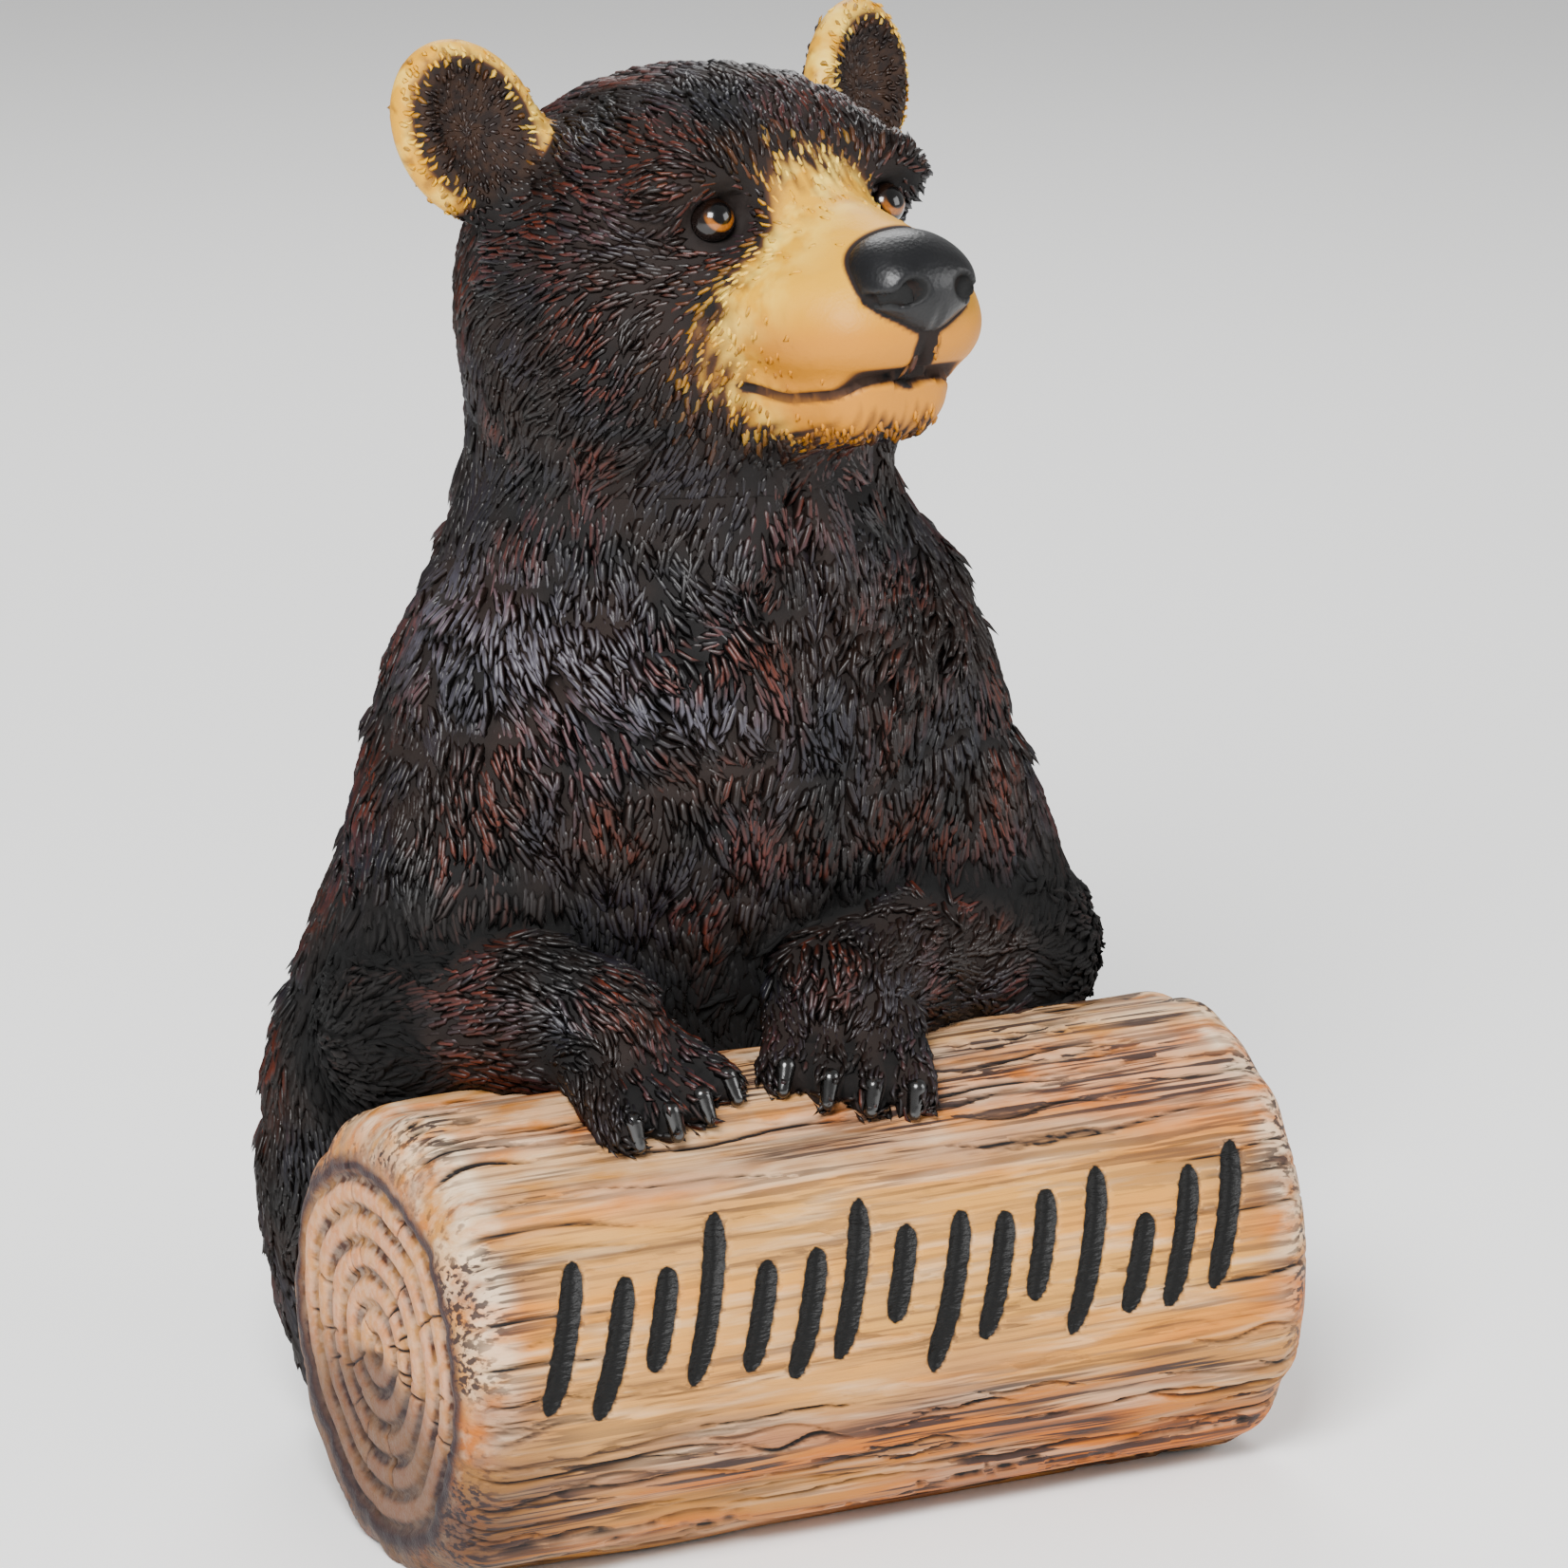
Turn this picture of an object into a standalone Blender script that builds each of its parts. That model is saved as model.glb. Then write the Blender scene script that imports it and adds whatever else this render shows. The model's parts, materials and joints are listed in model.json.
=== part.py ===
"""A garden statue cast in resin: a black bear to the waist, leaning its forearms on a short log.

The figure is blocked out in balls and limbs, as a sculptor adds clay, and then drawn onto the
smooth skin that blends them. The log is a lofted trunk with growth rings and gouged grain. The two
are one casting, planed flat underneath.
"""

import math

import bmesh
import bpy
import numpy as np
from mathutils import Euler, Matrix, Vector

# Driving dimensions, in metres
FIGURE_HEIGHT = 0.373  # floor to the tip of the higher ear
LOG_LENGTH = 0.241
LOG_DIAMETER = 0.121
LOG_FLAT_DEPTH = 0.005  # how much of the log's underside is planed off to stand on
LOG_EDGE_ROUNDING = 0.013
RING_COUNT = 4  # growth rings carved in each end of the log
RING_DEPTH = 0.0018
GRAIN_DEPTH = 0.0016  # the furrows along the log
STROKE_COUNT = 15
STROKE_PITCH = 0.0134
STROKE_WIDTH = 0.0074
STROKE_DEPTH = 0.0022
STROKE_LENGTH = 0.046  # the longest stroke, measured round the log
STROKE_LEAN = math.radians(16)
LOCK_WIDTH = 0.024  # the carved locks of the coat
LOCK_LENGTH = 0.037
LOCK_DEPTH = 0.0034
RUFF_DEPTH = 0.0036

# The figure's forms are measured in millimetres on a figure 373 high, and scaled to its height
DESIGN_HEIGHT = 373.0
UNIT = FIGURE_HEIGHT / DESIGN_HEIGHT

LOG_RADIUS = LOG_DIAMETER / 2
LOG_AXIS_HEIGHT = LOG_RADIUS - LOG_FLAT_DEPTH
LOG_SEGMENTS = 42
STROKE_MIDDLE = math.radians(74)  # the strokes' middle, turned from the log's top to its front

HEAD_CENTRE = np.array((-3.0, 59.0, 309.0))
HEAD_TURN = Euler((math.radians(-13), math.radians(3), math.radians(11)))

VOXEL = 0.0022  # the skin is remeshed at this pitch before it is thinned
SKIN_TRIANGLES = 6600
THINNING_BIAS = 0.0001  # how strongly the face is spared when the skin is thinned


def ball(centre, radii, turn=(0, 0, 0)):
    """An ellipsoid of clay: centre and radii in design millimetres, turn in degrees."""
    return {
        "kind": "ball",
        "centre": np.array(centre, float),
        "radii": np.array(radii, float),
        "turn": np.array(Euler([math.radians(a) for a in turn]).to_matrix()),
    }


def limb(start, end, start_radius, end_radius):
    """A tapered sausage of clay between two points."""
    return {
        "kind": "limb",
        "start": np.array(start, float),
        "end": np.array(end, float),
        "radii": (start_radius, end_radius),
    }


def distance_to(form, p):
    """About how far each point lies outside one form."""
    if form["kind"] == "ball":
        q = (p - form["centre"]) @ form["turn"]
        near = np.linalg.norm(q / form["radii"], axis=1)
        steep = np.linalg.norm(q / form["radii"] ** 2, axis=1)
        return near * (near - 1) / np.maximum(steep, 1e-9)
    along = form["end"] - form["start"]
    share = np.clip((p - form["start"]) @ along / (along @ along), 0, 1)
    r0, r1 = form["radii"]
    gap = np.linalg.norm(p - form["start"] - share[:, None] * along, axis=1)
    return gap - (r0 + (r1 - r0) * share)


def join(a, b, blend):
    """The smooth union of two skins: blend is the width of the fillet between them."""
    h = np.maximum(blend - np.abs(a - b), 0) / blend
    return np.minimum(a, b) - h * h * blend / 4


def carve(a, b, blend):
    """Skin a with skin b taken out of it, the edge rounded by blend."""
    return -join(-a, b, blend)


def lump(forms, p, blend):
    """Several forms pressed into one."""
    found = distance_to(forms[0], p)
    for form in forms[1:]:
        found = join(found, distance_to(form, p), blend)
    return found


def ramp(value, low, high):
    """0 at low, 1 at high, with a soft start and stop."""
    share = np.clip((value - low) / (high - low), 0, 1)
    return share * share * (3 - 2 * share)


def in_head(p):
    """Points in the head's own frame: muzzle towards -Y, crown towards +Z."""
    return (p - HEAD_CENTRE) @ np.array(HEAD_TURN.to_matrix())


def from_head(q):
    return HEAD_CENTRE + np.array(HEAD_TURN.to_matrix()) @ np.array(q, float)


TORSO = [
    ball((0, 82, 74), (113, 56, 130)),
    ball((0, 66, 187), (73, 62, 74)),
    limb((-2, 68, 210), (-8, 62, 290), 54, 49),
]
SKULL = [
    ball((0, 4, 3), (55, 53, 50)),
    ball((0, -22, 20), (46, 32, 28)),
    ball((-30, -8, -20), (27, 36, 28)),
    ball((30, -8, -20), (27, 36, 28)),
]
MUZZLE = [
    limb((0, -36, -9), (0, -80, -14), 28, 17),
    ball((-13, -58, -11), (19, 30, 15)),
    ball((13, -58, -11), (19, 30, 15)),
    limb((0, -38, 10), (0, -80, -4), 17, 12),
    ball((-12, -76, -19), (14, 17, 11)),
    ball((12, -76, -19), (14, 17, 11)),
]
JAW = [
    limb((-9, -26, -29), (-7, -73, -33), 18, 12),
    limb((9, -26, -29), (7, -73, -33), 18, 12),
]
NOSE = [
    ball((0, -87, -3), (15, 12, 9)),
    ball((0, -92, -8), (13, 11, 9)),
    ball((-8.5, -92, -8), (6.8, 9, 6.8)),
    ball((8.5, -92, -8), (6.8, 9, 6.8)),
    ball((0, -91, -14), (7, 9, 6)),
]
NOSTRILS = [limb((side * 6.5, -106, -9), (side * 9, -99, -9.5), 3.3, 2.6) for side in (-1, 1)]
PHILTRUM = [limb((0, -106, -12), (0, -95, -24), 1.3, 1.3)]
EYES = [(side * 27, -48, 13) for side in (-1, 1)]
EYE_RADIUS = 5.6
EYEBALLS = [ball(eye, (EYE_RADIUS,) * 3) for eye in EYES]
EYE_SOCKETS = [ball((x, y - 5, z), (8.8, 6.8, 6.6)) for x, y, z in EYES]
BROWS = [ball((side * 28, -44, 24), (16, 9.5, 7), (0, side * 16, 0)) for side in (-1, 1)]
EARS = []
EAR_CUPS = []
for side, out, rise in ((-1, 59, 41), (1, 65, 44)):
    turn = (0, side * 24, side * 16)
    EARS.append(ball((side * out, 8, rise), (19, 9, 24.5), turn))
    EAR_CUPS.append(ball((side * (out + 1), -2, rise + 2), (13.5, 9.5, 18), turn))


def chain(points, radius):
    """Limbs of one thickness end to end."""
    return [limb(a, b, radius, radius) for a, b in zip(points, points[1:])]


def lid(side, rise):
    """The rim of one eyelid, arched over or under the eye."""
    x, y, z = EYES[(side + 1) // 2]
    arch = []
    for n in range(7):
        turn = math.pi * n / 6
        across = -side * 8.2 * math.cos(turn)
        fall = 1.5 * math.cos(turn)
        arch.append((x + across, y - 1.5 - 3.4 * math.sin(turn), z + rise * math.sin(turn) + fall))
    return chain(arch, 1.9)


LIDS = [lid(side, rise) for side in (-1, 1) for rise in (3.9, -4.1)]


def mouth(q):
    """Less than 0 in the thin slot where the lips meet: it dips on each side and ends at the cheeks."""
    x, y, z = q.T
    height = -33 + 4 * ramp(-y, 78, 88) + 4.5 * ramp(y, -66, -46)
    opened = ramp(-y, 46, 52) * (1 - ramp(np.abs(x), 30, 34))
    return np.abs(z - height) + 1.6 - 3.0 * opened


def on_log(x, arc, lift):
    """A design point above the log: arc is measured round from its top towards the front."""
    angle = arc / (LOG_RADIUS / UNIT)
    reach = LOG_RADIUS / UNIT + lift
    return np.array((x, -reach * math.sin(angle), LOG_AXIS_HEIGHT / UNIT + reach * math.cos(angle)))


def paw(x, arc, heading):
    """One paw lying on the log, its toes pointing along heading: the hand, toes and claws."""
    turn = math.radians(heading)
    ahead = np.array((math.sin(turn), math.cos(turn)))
    across = np.array((math.cos(turn), -math.sin(turn)))

    def spot(forward, sideways, lift):
        move = forward * ahead + sideways * across
        return on_log(x + move[0], arc + move[1], lift)

    hand = [limb(spot(-14, 0, 13), spot(-6, 0, 8.5), 16, 12.8)]
    # Webs fill the pockets between the toes and the log
    toes = [limb(spot(-2, fan * 0.8, 1), spot(15, fan, 0.5), 5.5, 5) for fan in (-11, 0, 11)]
    claws = []
    for n in range(4):
        fan = (n - 1.5) * 11
        reach = 17 - 1.3 * abs(n - 1.5) ** 1.6
        toes.append(limb(spot(-6, fan * 0.75, 10), spot(reach, fan, 4.2), 6.6, 6.0))
        toes.append(limb(spot(reach, fan, 1.5), spot(reach + 6, fan, 0), 4, 3))
        claws.append(limb(spot(reach + 3, fan, 8), spot(reach + 7.5, fan * 1.02, 2.4), 2.8, 2.1))
    return hand, toes, claws


ARMS = []
# Elbow and wrist lean on the log: along it, round it and above it, as in on_log
for shoulder, elbow, wrist, place in (
    ((-50, 66, 191), (-87, -35.8, 22), (-70, -17.2, 18.1), (-53, 7, 18)),
    ((50, 66, 191), (80, -35.4, 19.2), (31, -16.6, 16.9), (7, 9, -24)),
):
    elbow, wrist = on_log(*elbow), on_log(*wrist)
    hand, toes, claws = paw(*place)
    ARMS.append(
        {
            "upper": [limb(shoulder, elbow, 30, 24)],
            "fore": [limb(elbow, wrist, 25, 19), limb(wrist, hand[0]["start"], 19, 16), *hand],
            "toes": toes,
            "claws": claws,
        }
    )


def head_distance(p):
    q = in_head(p)
    d = lump(SKULL, q, 14)
    d = join(d, lump(MUZZLE, q, 10), 16)
    d = join(d, lump(JAW, q, 8), 8)
    d = join(d, lump(BROWS, q, 3), 10)
    d = join(d, lump(NOSE, q, 5), 1.5)
    for ear, cup in zip(EARS, EAR_CUPS):
        d = join(d, distance_to(ear, q), 9)
        d = carve(d, distance_to(cup, q), 3)
    d = carve(d, lump(EYE_SOCKETS, q, 1), 4)
    d = join(d, lump(EYEBALLS, q, 1), 0.6)
    for rim in LIDS:
        d = join(d, lump(rim, q, 1), 2)
    d = carve(d, np.maximum(mouth(q), -d - 2.6), 1.2)
    return carve(d, lump(NOSTRILS + PHILTRUM, q, 1), 1.2)


def locks(p):
    """How far the coat's carved locks stand up: columns of pointed locks hanging down the body."""
    width, length, depth = LOCK_WIDTH / UNIT, LOCK_LENGTH / UNIT, LOCK_DEPTH / UNIT
    x, y, z = p.T
    around = np.arctan2(x, 70 - y) * 78 / width + 0.32 * np.sin(z / 23 + x / 40)
    column = np.floor(around)
    across = np.abs(around - column - 0.5) * 2
    down = (300 - z) / length + 0.62 * column + 0.25 * np.sin(column * 2.1)
    fall = down - np.floor(down)
    edge = np.clip(1.3 - across - fall * 0.6, 0, 1)
    ridge = np.sqrt(edge) * (0.35 + 0.65 * fall) * np.clip((1 - fall) / 0.2, 0, 1)
    above_paws = np.clip((z - 150 + 1.7 * np.maximum(y - 40, 0)) / 24, 0, 1)
    below_head = np.clip((282 + 0.25 * y - z) / 26, 0, 1)
    return depth * (ridge - 0.35) * above_paws * below_head


def ruff(p):
    """How far the ruff stands up: the coat's long front edge, hanging from the shoulders."""
    x, y, z = p.T
    edge = 206 + 40 * np.exp(-((x / 13) ** 2)) + 0.013 * (np.abs(x) - 36) ** 2
    edge += 3.2 * np.sin(x / 3.3)
    rise = z - edge
    return RUFF_DEPTH / UNIT * ramp(rise, 0, 4.5) * (1 - ramp(rise, 6, 42)) * ramp(-y, -78, -50)


def bear_distance(p):
    d = lump(TORSO, p, 34)
    for arm in ARMS:
        d = join(d, lump(arm["upper"], p, 10), 24)
    d = d - locks(p) - ruff(p)
    d = join(d, head_distance(p), 18)
    for arm in ARMS:
        d = join(d, lump(arm["fore"], p, 9), 4)
        d = join(d, lump(arm["toes"], p, 0.8), 2.5)
        d = join(d, lump(arm["claws"], p, 1), 1)
    return d


def all_forms():
    """Every form with the matrix that carries it into the figure's frame."""
    head = Matrix.Translation(Vector(HEAD_CENTRE)) @ HEAD_TURN.to_matrix().to_4x4()
    for form in SKULL + MUZZLE + JAW + NOSE + EARS + BROWS:
        yield form, head
    for form in TORSO:
        yield form, Matrix.Identity(4)
    for arm in ARMS:
        for form in arm["upper"] + arm["fore"] + arm["toes"] + arm["claws"]:
            yield form, Matrix.Identity(4)


def beads_of(form):
    """The matrices that lay out one form as unit balls, for the remesher to fuse."""
    if form["kind"] == "ball":
        turn = Matrix(form["turn"].tolist()).to_4x4()
        size = Matrix.Diagonal((*form["radii"], 1))
        return [Matrix.Translation(Vector(form["centre"])) @ turn @ size]
    start, end = Vector(form["start"]), Vector(form["end"])
    r0, r1 = form["radii"]
    count = max(2, math.ceil((end - start).length / (0.35 * min(r0, r1))) + 1)
    shares = [n / (count - 1) for n in range(count)]
    return [Matrix.Translation(start.lerp(end, s)) @ Matrix.Scale(r0 + (r1 - r0) * s, 4) for s in shares]


def points_of(mesh):
    """The mesh's vertices in design millimetres."""
    p = np.empty(len(mesh.vertices) * 3)
    mesh.vertices.foreach_get("co", p)
    return p.reshape(-1, 3) / UNIT


def draw_onto_skin(mesh, distance, steps):
    """Moves each vertex along the slope of the distance until it lies on the skin."""
    p = points_of(mesh)
    probe = 0.05
    corners = np.array(((1, 1, 1), (1, -1, -1), (-1, 1, -1), (-1, -1, 1)), float)
    for _ in range(steps):
        d = distance(p)
        slope = sum(c * (distance(p + probe * c))[:, None] for c in corners)
        slope /= np.maximum(np.linalg.norm(slope, axis=1, keepdims=True), 1e-9)
        p -= slope * np.clip(d, -6, 6)[:, None]
    mesh.vertices.foreach_set("co", (p * UNIT).ravel())
    mesh.update()


def apply_modifiers(obj):
    graph = bpy.context.evaluated_depsgraph_get()
    mesh = bpy.data.meshes.new_from_object(obj.evaluated_get(graph))
    obj.modifiers.clear()
    old, obj.data = obj.data, mesh
    bpy.data.meshes.remove(old)


def remesh(obj, voxel):
    modifier = obj.modifiers.new("remesh", "REMESH")
    modifier.mode = "VOXEL"
    modifier.voxel_size = voxel
    apply_modifiers(obj)


def unit_ball():
    bm = bmesh.new()
    bmesh.ops.create_icosphere(bm, subdivisions=3, radius=1)
    mesh = bpy.data.meshes.new("unit_ball")
    bm.to_mesh(mesh)
    bm.free()
    return mesh


def block_out(name):
    """All the forms as one mesh of overlapping balls."""
    bm = bmesh.new()
    one = unit_ball()
    for form, place in all_forms():
        for bead in beads_of(form):
            copy = one.copy()
            copy.transform(Matrix.Scale(UNIT, 4) @ place @ bead)
            bm.from_mesh(copy)
            bpy.data.meshes.remove(copy)
    bpy.data.meshes.remove(one)
    mesh = bpy.data.meshes.new(name)
    bm.to_mesh(mesh)
    bm.free()
    return mesh


def weigh_for_thinning(obj):
    """Marks the skin for thinning: least on face and paws, most where the log will hide it."""
    p = points_of(obj.data)
    face = ramp(-in_head(p)[:, 1], 5, 30) * ramp(p[:, 2], 255, 275)
    paws = np.maximum.reduce([1 - ramp(lump(arm["toes"] + arm["claws"], p, 1), 2, 6) for arm in ARMS])
    in_log = 1 - ramp(np.hypot(p[:, 1], p[:, 2] - LOG_AXIS_HEIGHT / UNIT) - LOG_RADIUS / UNIT, -6, -2)
    weight = np.where(in_log > 0.5, 1.0, 0.6 - 0.5 * np.maximum(face, paws))
    group = obj.vertex_groups.new(name="thinning")
    for n, share in enumerate(weight):
        group.add([n], float(share), "REPLACE")


def make_bear(collection):
    bear = bpy.data.objects.new("bear", block_out("bear"))
    collection.objects.link(bear)
    for steps in (4, 2):
        remesh(bear, VOXEL)
        draw_onto_skin(bear.data, bear_distance, steps)
    weigh_for_thinning(bear)
    thin = bear.modifiers.new("thin", "DECIMATE")
    thin.vertex_group = "thinning"
    thin.vertex_group_factor = THINNING_BIAS
    bear.data.calc_loop_triangles()
    thin.ratio = SKIN_TRIANGLES / len(bear.data.loop_triangles)
    apply_modifiers(bear)
    return bear


def trunk_radius(turn, along):
    """The log's radius: a little out of round, furrowed along the grain."""
    wander = 0.5 * math.sin(along / 0.031) + 0.3 * math.sin(along / 0.013 + turn)
    furrows = math.sin(11 * turn + wander) + 0.7 * math.sin(19 * turn - 1.3 * wander)
    roundness = 0.010 * math.sin(2 * turn + 0.6) + 0.008 * math.sin(3 * turn)
    panel = min(1, abs(math.atan2(math.sin(turn - STROKE_MIDDLE), math.cos(turn - STROKE_MIDDLE))) / 0.5)
    return LOG_RADIUS * (1 + roundness) + 0.6 * GRAIN_DEPTH * furrows * panel**2


def log_stations():
    """The log's outline from the middle of one end to its edge: (share of radius, inset) pairs."""
    flat = 1 - LOG_EDGE_ROUNDING / LOG_RADIUS
    pairs = []
    for n in range(RING_COUNT):
        pairs.append(((n + 0.45) / RING_COUNT * flat, 0))
        pairs.append(((n + 0.85) / RING_COUNT * flat, RING_DEPTH))
    pairs.append((flat, 0))
    for turn in (math.radians(35), math.radians(68)):
        share = flat + (1 - flat) * math.sin(turn)
        pairs.append((share, LOG_EDGE_ROUNDING * (1 - math.cos(turn))))
    return pairs


def make_log(collection):
    half = LOG_LENGTH / 2
    end = log_stations()
    body = LOG_LENGTH - 2 * LOG_EDGE_ROUNDING
    steps = 7
    stations = [(share, -half + inset) for share, inset in end]
    stations += [(1, -body / 2 + body * n / (steps - 1)) for n in range(steps)]
    stations += [(share, half - inset) for share, inset in reversed(end)]
    bm = bmesh.new()
    loops = []
    for share, along in stations:
        loop = []
        for n in range(LOG_SEGMENTS):
            turn = 2 * math.pi * n / LOG_SEGMENTS
            bark = trunk_radius(turn, along) - LOG_RADIUS
            radius = share * (LOG_RADIUS + bark * share**3)
            loop.append(bm.verts.new((along, -radius * math.sin(turn), radius * math.cos(turn))))
        loops.append(loop)
    for a, b in zip(loops, loops[1:]):
        for n in range(LOG_SEGMENTS):
            m = (n + 1) % LOG_SEGMENTS
            bm.faces.new((a[n], a[m], b[m], b[n]))
    for loop, along in ((loops[0], -half), (loops[-1], half)):
        pole = bm.verts.new((along, 0, 0))
        for n in range(LOG_SEGMENTS):
            bm.faces.new((pole, loop[n], loop[(n + 1) % LOG_SEGMENTS]))
    bmesh.ops.translate(bm, verts=bm.verts, vec=(0, 0, LOG_AXIS_HEIGHT))
    bmesh.ops.recalc_face_normals(bm, faces=bm.faces)
    mesh = bpy.data.meshes.new("log")
    bm.to_mesh(mesh)
    bm.free()
    log = bpy.data.objects.new("log", mesh)
    collection.objects.link(log)
    return log


def stroke_place(n):
    """One stroke's middle along the log, its length, and how far its middle sits off the row."""
    along = (n - (STROKE_COUNT - 1) / 2) * STROKE_PITCH
    length = STROKE_LENGTH * (0.78 + 0.22 * math.sin(2.4 * n + 0.5))
    shift = 0.10 * STROKE_LENGTH * math.sin(1.7 * n)
    return along, length, shift


def make_stroke(collection, n):
    """A blunt chisel cut, bent to lie along the log's surface."""
    along, length, shift = stroke_place(n)
    bm = bmesh.new()
    loops = []
    for share in (-0.97, -0.62, 0, 0.62, 0.97):
        fat = math.sqrt(1 - share**6)
        run = share * length / 2
        x = along + run * math.sin(STROKE_LEAN)
        turn = STROKE_MIDDLE - (run * math.cos(STROKE_LEAN) - shift) / LOG_RADIUS
        loop = []
        for side, lift in ((-1, 1.4), (0, -1), (1, 1.4)):
            reach = LOG_RADIUS + lift * STROKE_DEPTH * (fat if lift < 0 else 1)
            at = x + side * 0.9 * STROKE_WIDTH * fat
            loop.append(bm.verts.new((at, -reach * math.sin(turn), reach * math.cos(turn))))
        loops.append(loop)
    for a, b in zip(loops, loops[1:]):
        for m in range(3):
            bm.faces.new((a[m], a[(m + 1) % 3], b[(m + 1) % 3], b[m]))
    bm.faces.new(loops[0])
    bm.faces.new(loops[-1])
    bmesh.ops.translate(bm, verts=bm.verts, vec=(0, 0, LOG_AXIS_HEIGHT))
    bmesh.ops.recalc_face_normals(bm, faces=bm.faces)
    mesh = bpy.data.meshes.new("stroke")
    bm.to_mesh(mesh)
    bm.free()
    return add_cutter(collection, f"stroke_{n:02d}", mesh)


def add_cutter(collection, name, mesh):
    cutter = bpy.data.objects.new(name, mesh)
    collection.objects.link(cutter)
    cutter.hide_render = True
    cutter.display_type = "WIRE"
    return cutter


def make_floor_cutter(collection):
    """A block whose top is the floor, to plane the underside flat."""
    bm = bmesh.new()
    bmesh.ops.create_cube(bm, size=1)
    bmesh.ops.translate(bm, verts=bm.verts, vec=(0, 0, -0.5))
    mesh = bpy.data.meshes.new("floor")
    bm.to_mesh(mesh)
    bm.free()
    return add_cutter(collection, "below_floor", mesh)


def combine(obj, other, operation):
    modifier = obj.modifiers.new(other.name, "BOOLEAN")
    modifier.operation = operation
    modifier.solver = "EXACT"
    modifier.object = other
    apply_modifiers(obj)


def resin():
    """Painted resin, the near-black brown of the coat."""
    material = bpy.data.materials.new("painted_resin")
    material.use_nodes = True
    shader = material.node_tree.nodes["Principled BSDF"]
    shader.inputs["Base Color"].default_value = (0.045, 0.032, 0.026, 1)
    shader.inputs["Roughness"].default_value = 0.5
    shader.inputs["Metallic"].default_value = 0
    return material


def main():
    for old in list(bpy.data.objects):
        bpy.data.objects.remove(old)
    statue = bpy.data.collections.new("bear_on_log")
    cutters = bpy.data.collections.new("cutters")
    for collection in (statue, cutters):
        bpy.context.scene.collection.children.link(collection)
    bear = make_bear(statue)
    log = make_log(cutters)
    for n in range(STROKE_COUNT):
        combine(log, make_stroke(cutters, n), "DIFFERENCE")
    combine(bear, log, "UNION")
    combine(bear, make_floor_cutter(cutters), "DIFFERENCE")
    log.hide_render = True
    log.display_type = "WIRE"
    bear.name = bear.data.name = "bear_on_log"
    bear.data.materials.clear()
    bear.data.materials.append(resin())


if __name__ == "__main__":
    main()
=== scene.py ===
"""A garden bear cast in resin and painted by hand, leaning its forearms on a short log.

The coat is modelled as a sculptor builds clay: balls and limbs pressed together, drawn onto one
smooth skin, then covered with short carved locks. The log is a lofted trunk cut with gouges.
"""

import json
import math
from functools import partial

import bmesh
import bpy
import numpy as np
from bpy.props import FloatProperty, FloatVectorProperty, IntProperty, PointerProperty
from mathutils import Euler, Matrix, Vector
from mathutils.kdtree import KDTree

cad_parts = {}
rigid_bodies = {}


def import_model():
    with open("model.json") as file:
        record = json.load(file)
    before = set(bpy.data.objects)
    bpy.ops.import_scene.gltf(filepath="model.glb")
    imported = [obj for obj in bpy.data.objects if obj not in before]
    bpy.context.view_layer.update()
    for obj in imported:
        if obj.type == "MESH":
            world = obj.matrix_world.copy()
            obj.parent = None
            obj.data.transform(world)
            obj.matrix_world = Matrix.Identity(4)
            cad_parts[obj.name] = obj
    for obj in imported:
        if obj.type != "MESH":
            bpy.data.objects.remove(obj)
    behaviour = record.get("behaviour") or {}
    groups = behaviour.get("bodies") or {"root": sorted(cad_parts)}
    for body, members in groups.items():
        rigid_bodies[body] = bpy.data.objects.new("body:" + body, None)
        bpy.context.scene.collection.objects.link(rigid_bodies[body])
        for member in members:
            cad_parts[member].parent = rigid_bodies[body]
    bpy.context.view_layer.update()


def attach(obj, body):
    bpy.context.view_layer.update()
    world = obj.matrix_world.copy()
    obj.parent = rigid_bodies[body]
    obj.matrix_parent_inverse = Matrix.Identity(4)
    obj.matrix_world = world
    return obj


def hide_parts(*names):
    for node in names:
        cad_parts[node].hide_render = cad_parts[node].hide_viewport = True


bl_info = {
    "name": "Bear on a Log",
    "version": (1, 0, 0),
    "blender": (4, 5, 0),
    "location": "3D View > Sidebar > Bear on a Log",
    "description": "Builds a painted resin garden bear that leans on a log",
    "category": "Add Mesh",
}

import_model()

NODE = "bear_on_log"
LOG_FLAT_DEPTH = 0.005

# The clay's forms are in millimetres on a figure 373 high, and scaled to the height of the casting
FIGURE_HEIGHT = 0.373
DESIGN_HEIGHT = 373.0
UNIT = FIGURE_HEIGHT / DESIGN_HEIGHT
HEAD_CENTRE = np.array((-3.0, 59.0, 309.0))
HEAD_TURN = Euler((math.radians(-13), math.radians(3), math.radians(11)))
HEAD_PLACE = Matrix.Translation(Vector(HEAD_CENTRE)) @ HEAD_TURN.to_matrix().to_4x4()
NECK_CUT = 262.0  # the height at which the head's finer skin meets the body's
EYE_RADIUS = 5.6


def linear(code):
    """An sRGB hex colour as linear RGBA."""
    parts = [int(code[n : n + 2], 16) / 255 for n in (1, 3, 5)]
    return (*[c / 12.92 if c <= 0.04045 else ((c + 0.055) / 1.055) ** 2.4 for c in parts], 1.0)


def size(name, text, default):
    """A length that a user may change."""
    return FloatProperty(
        name=name, description=text, default=default, min=0, unit="LENGTH", subtype="DISTANCE"
    )


def power(name, text, default):
    """A lamp's power that a user may change."""
    return FloatProperty(name=name, description=text, default=default, min=0, subtype="POWER")


def paint(name, text, code):
    """A colour that a user may change."""
    return FloatVectorProperty(
        name=name, description=text, default=linear(code), size=4, min=0, max=1, subtype="COLOR"
    )


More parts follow.
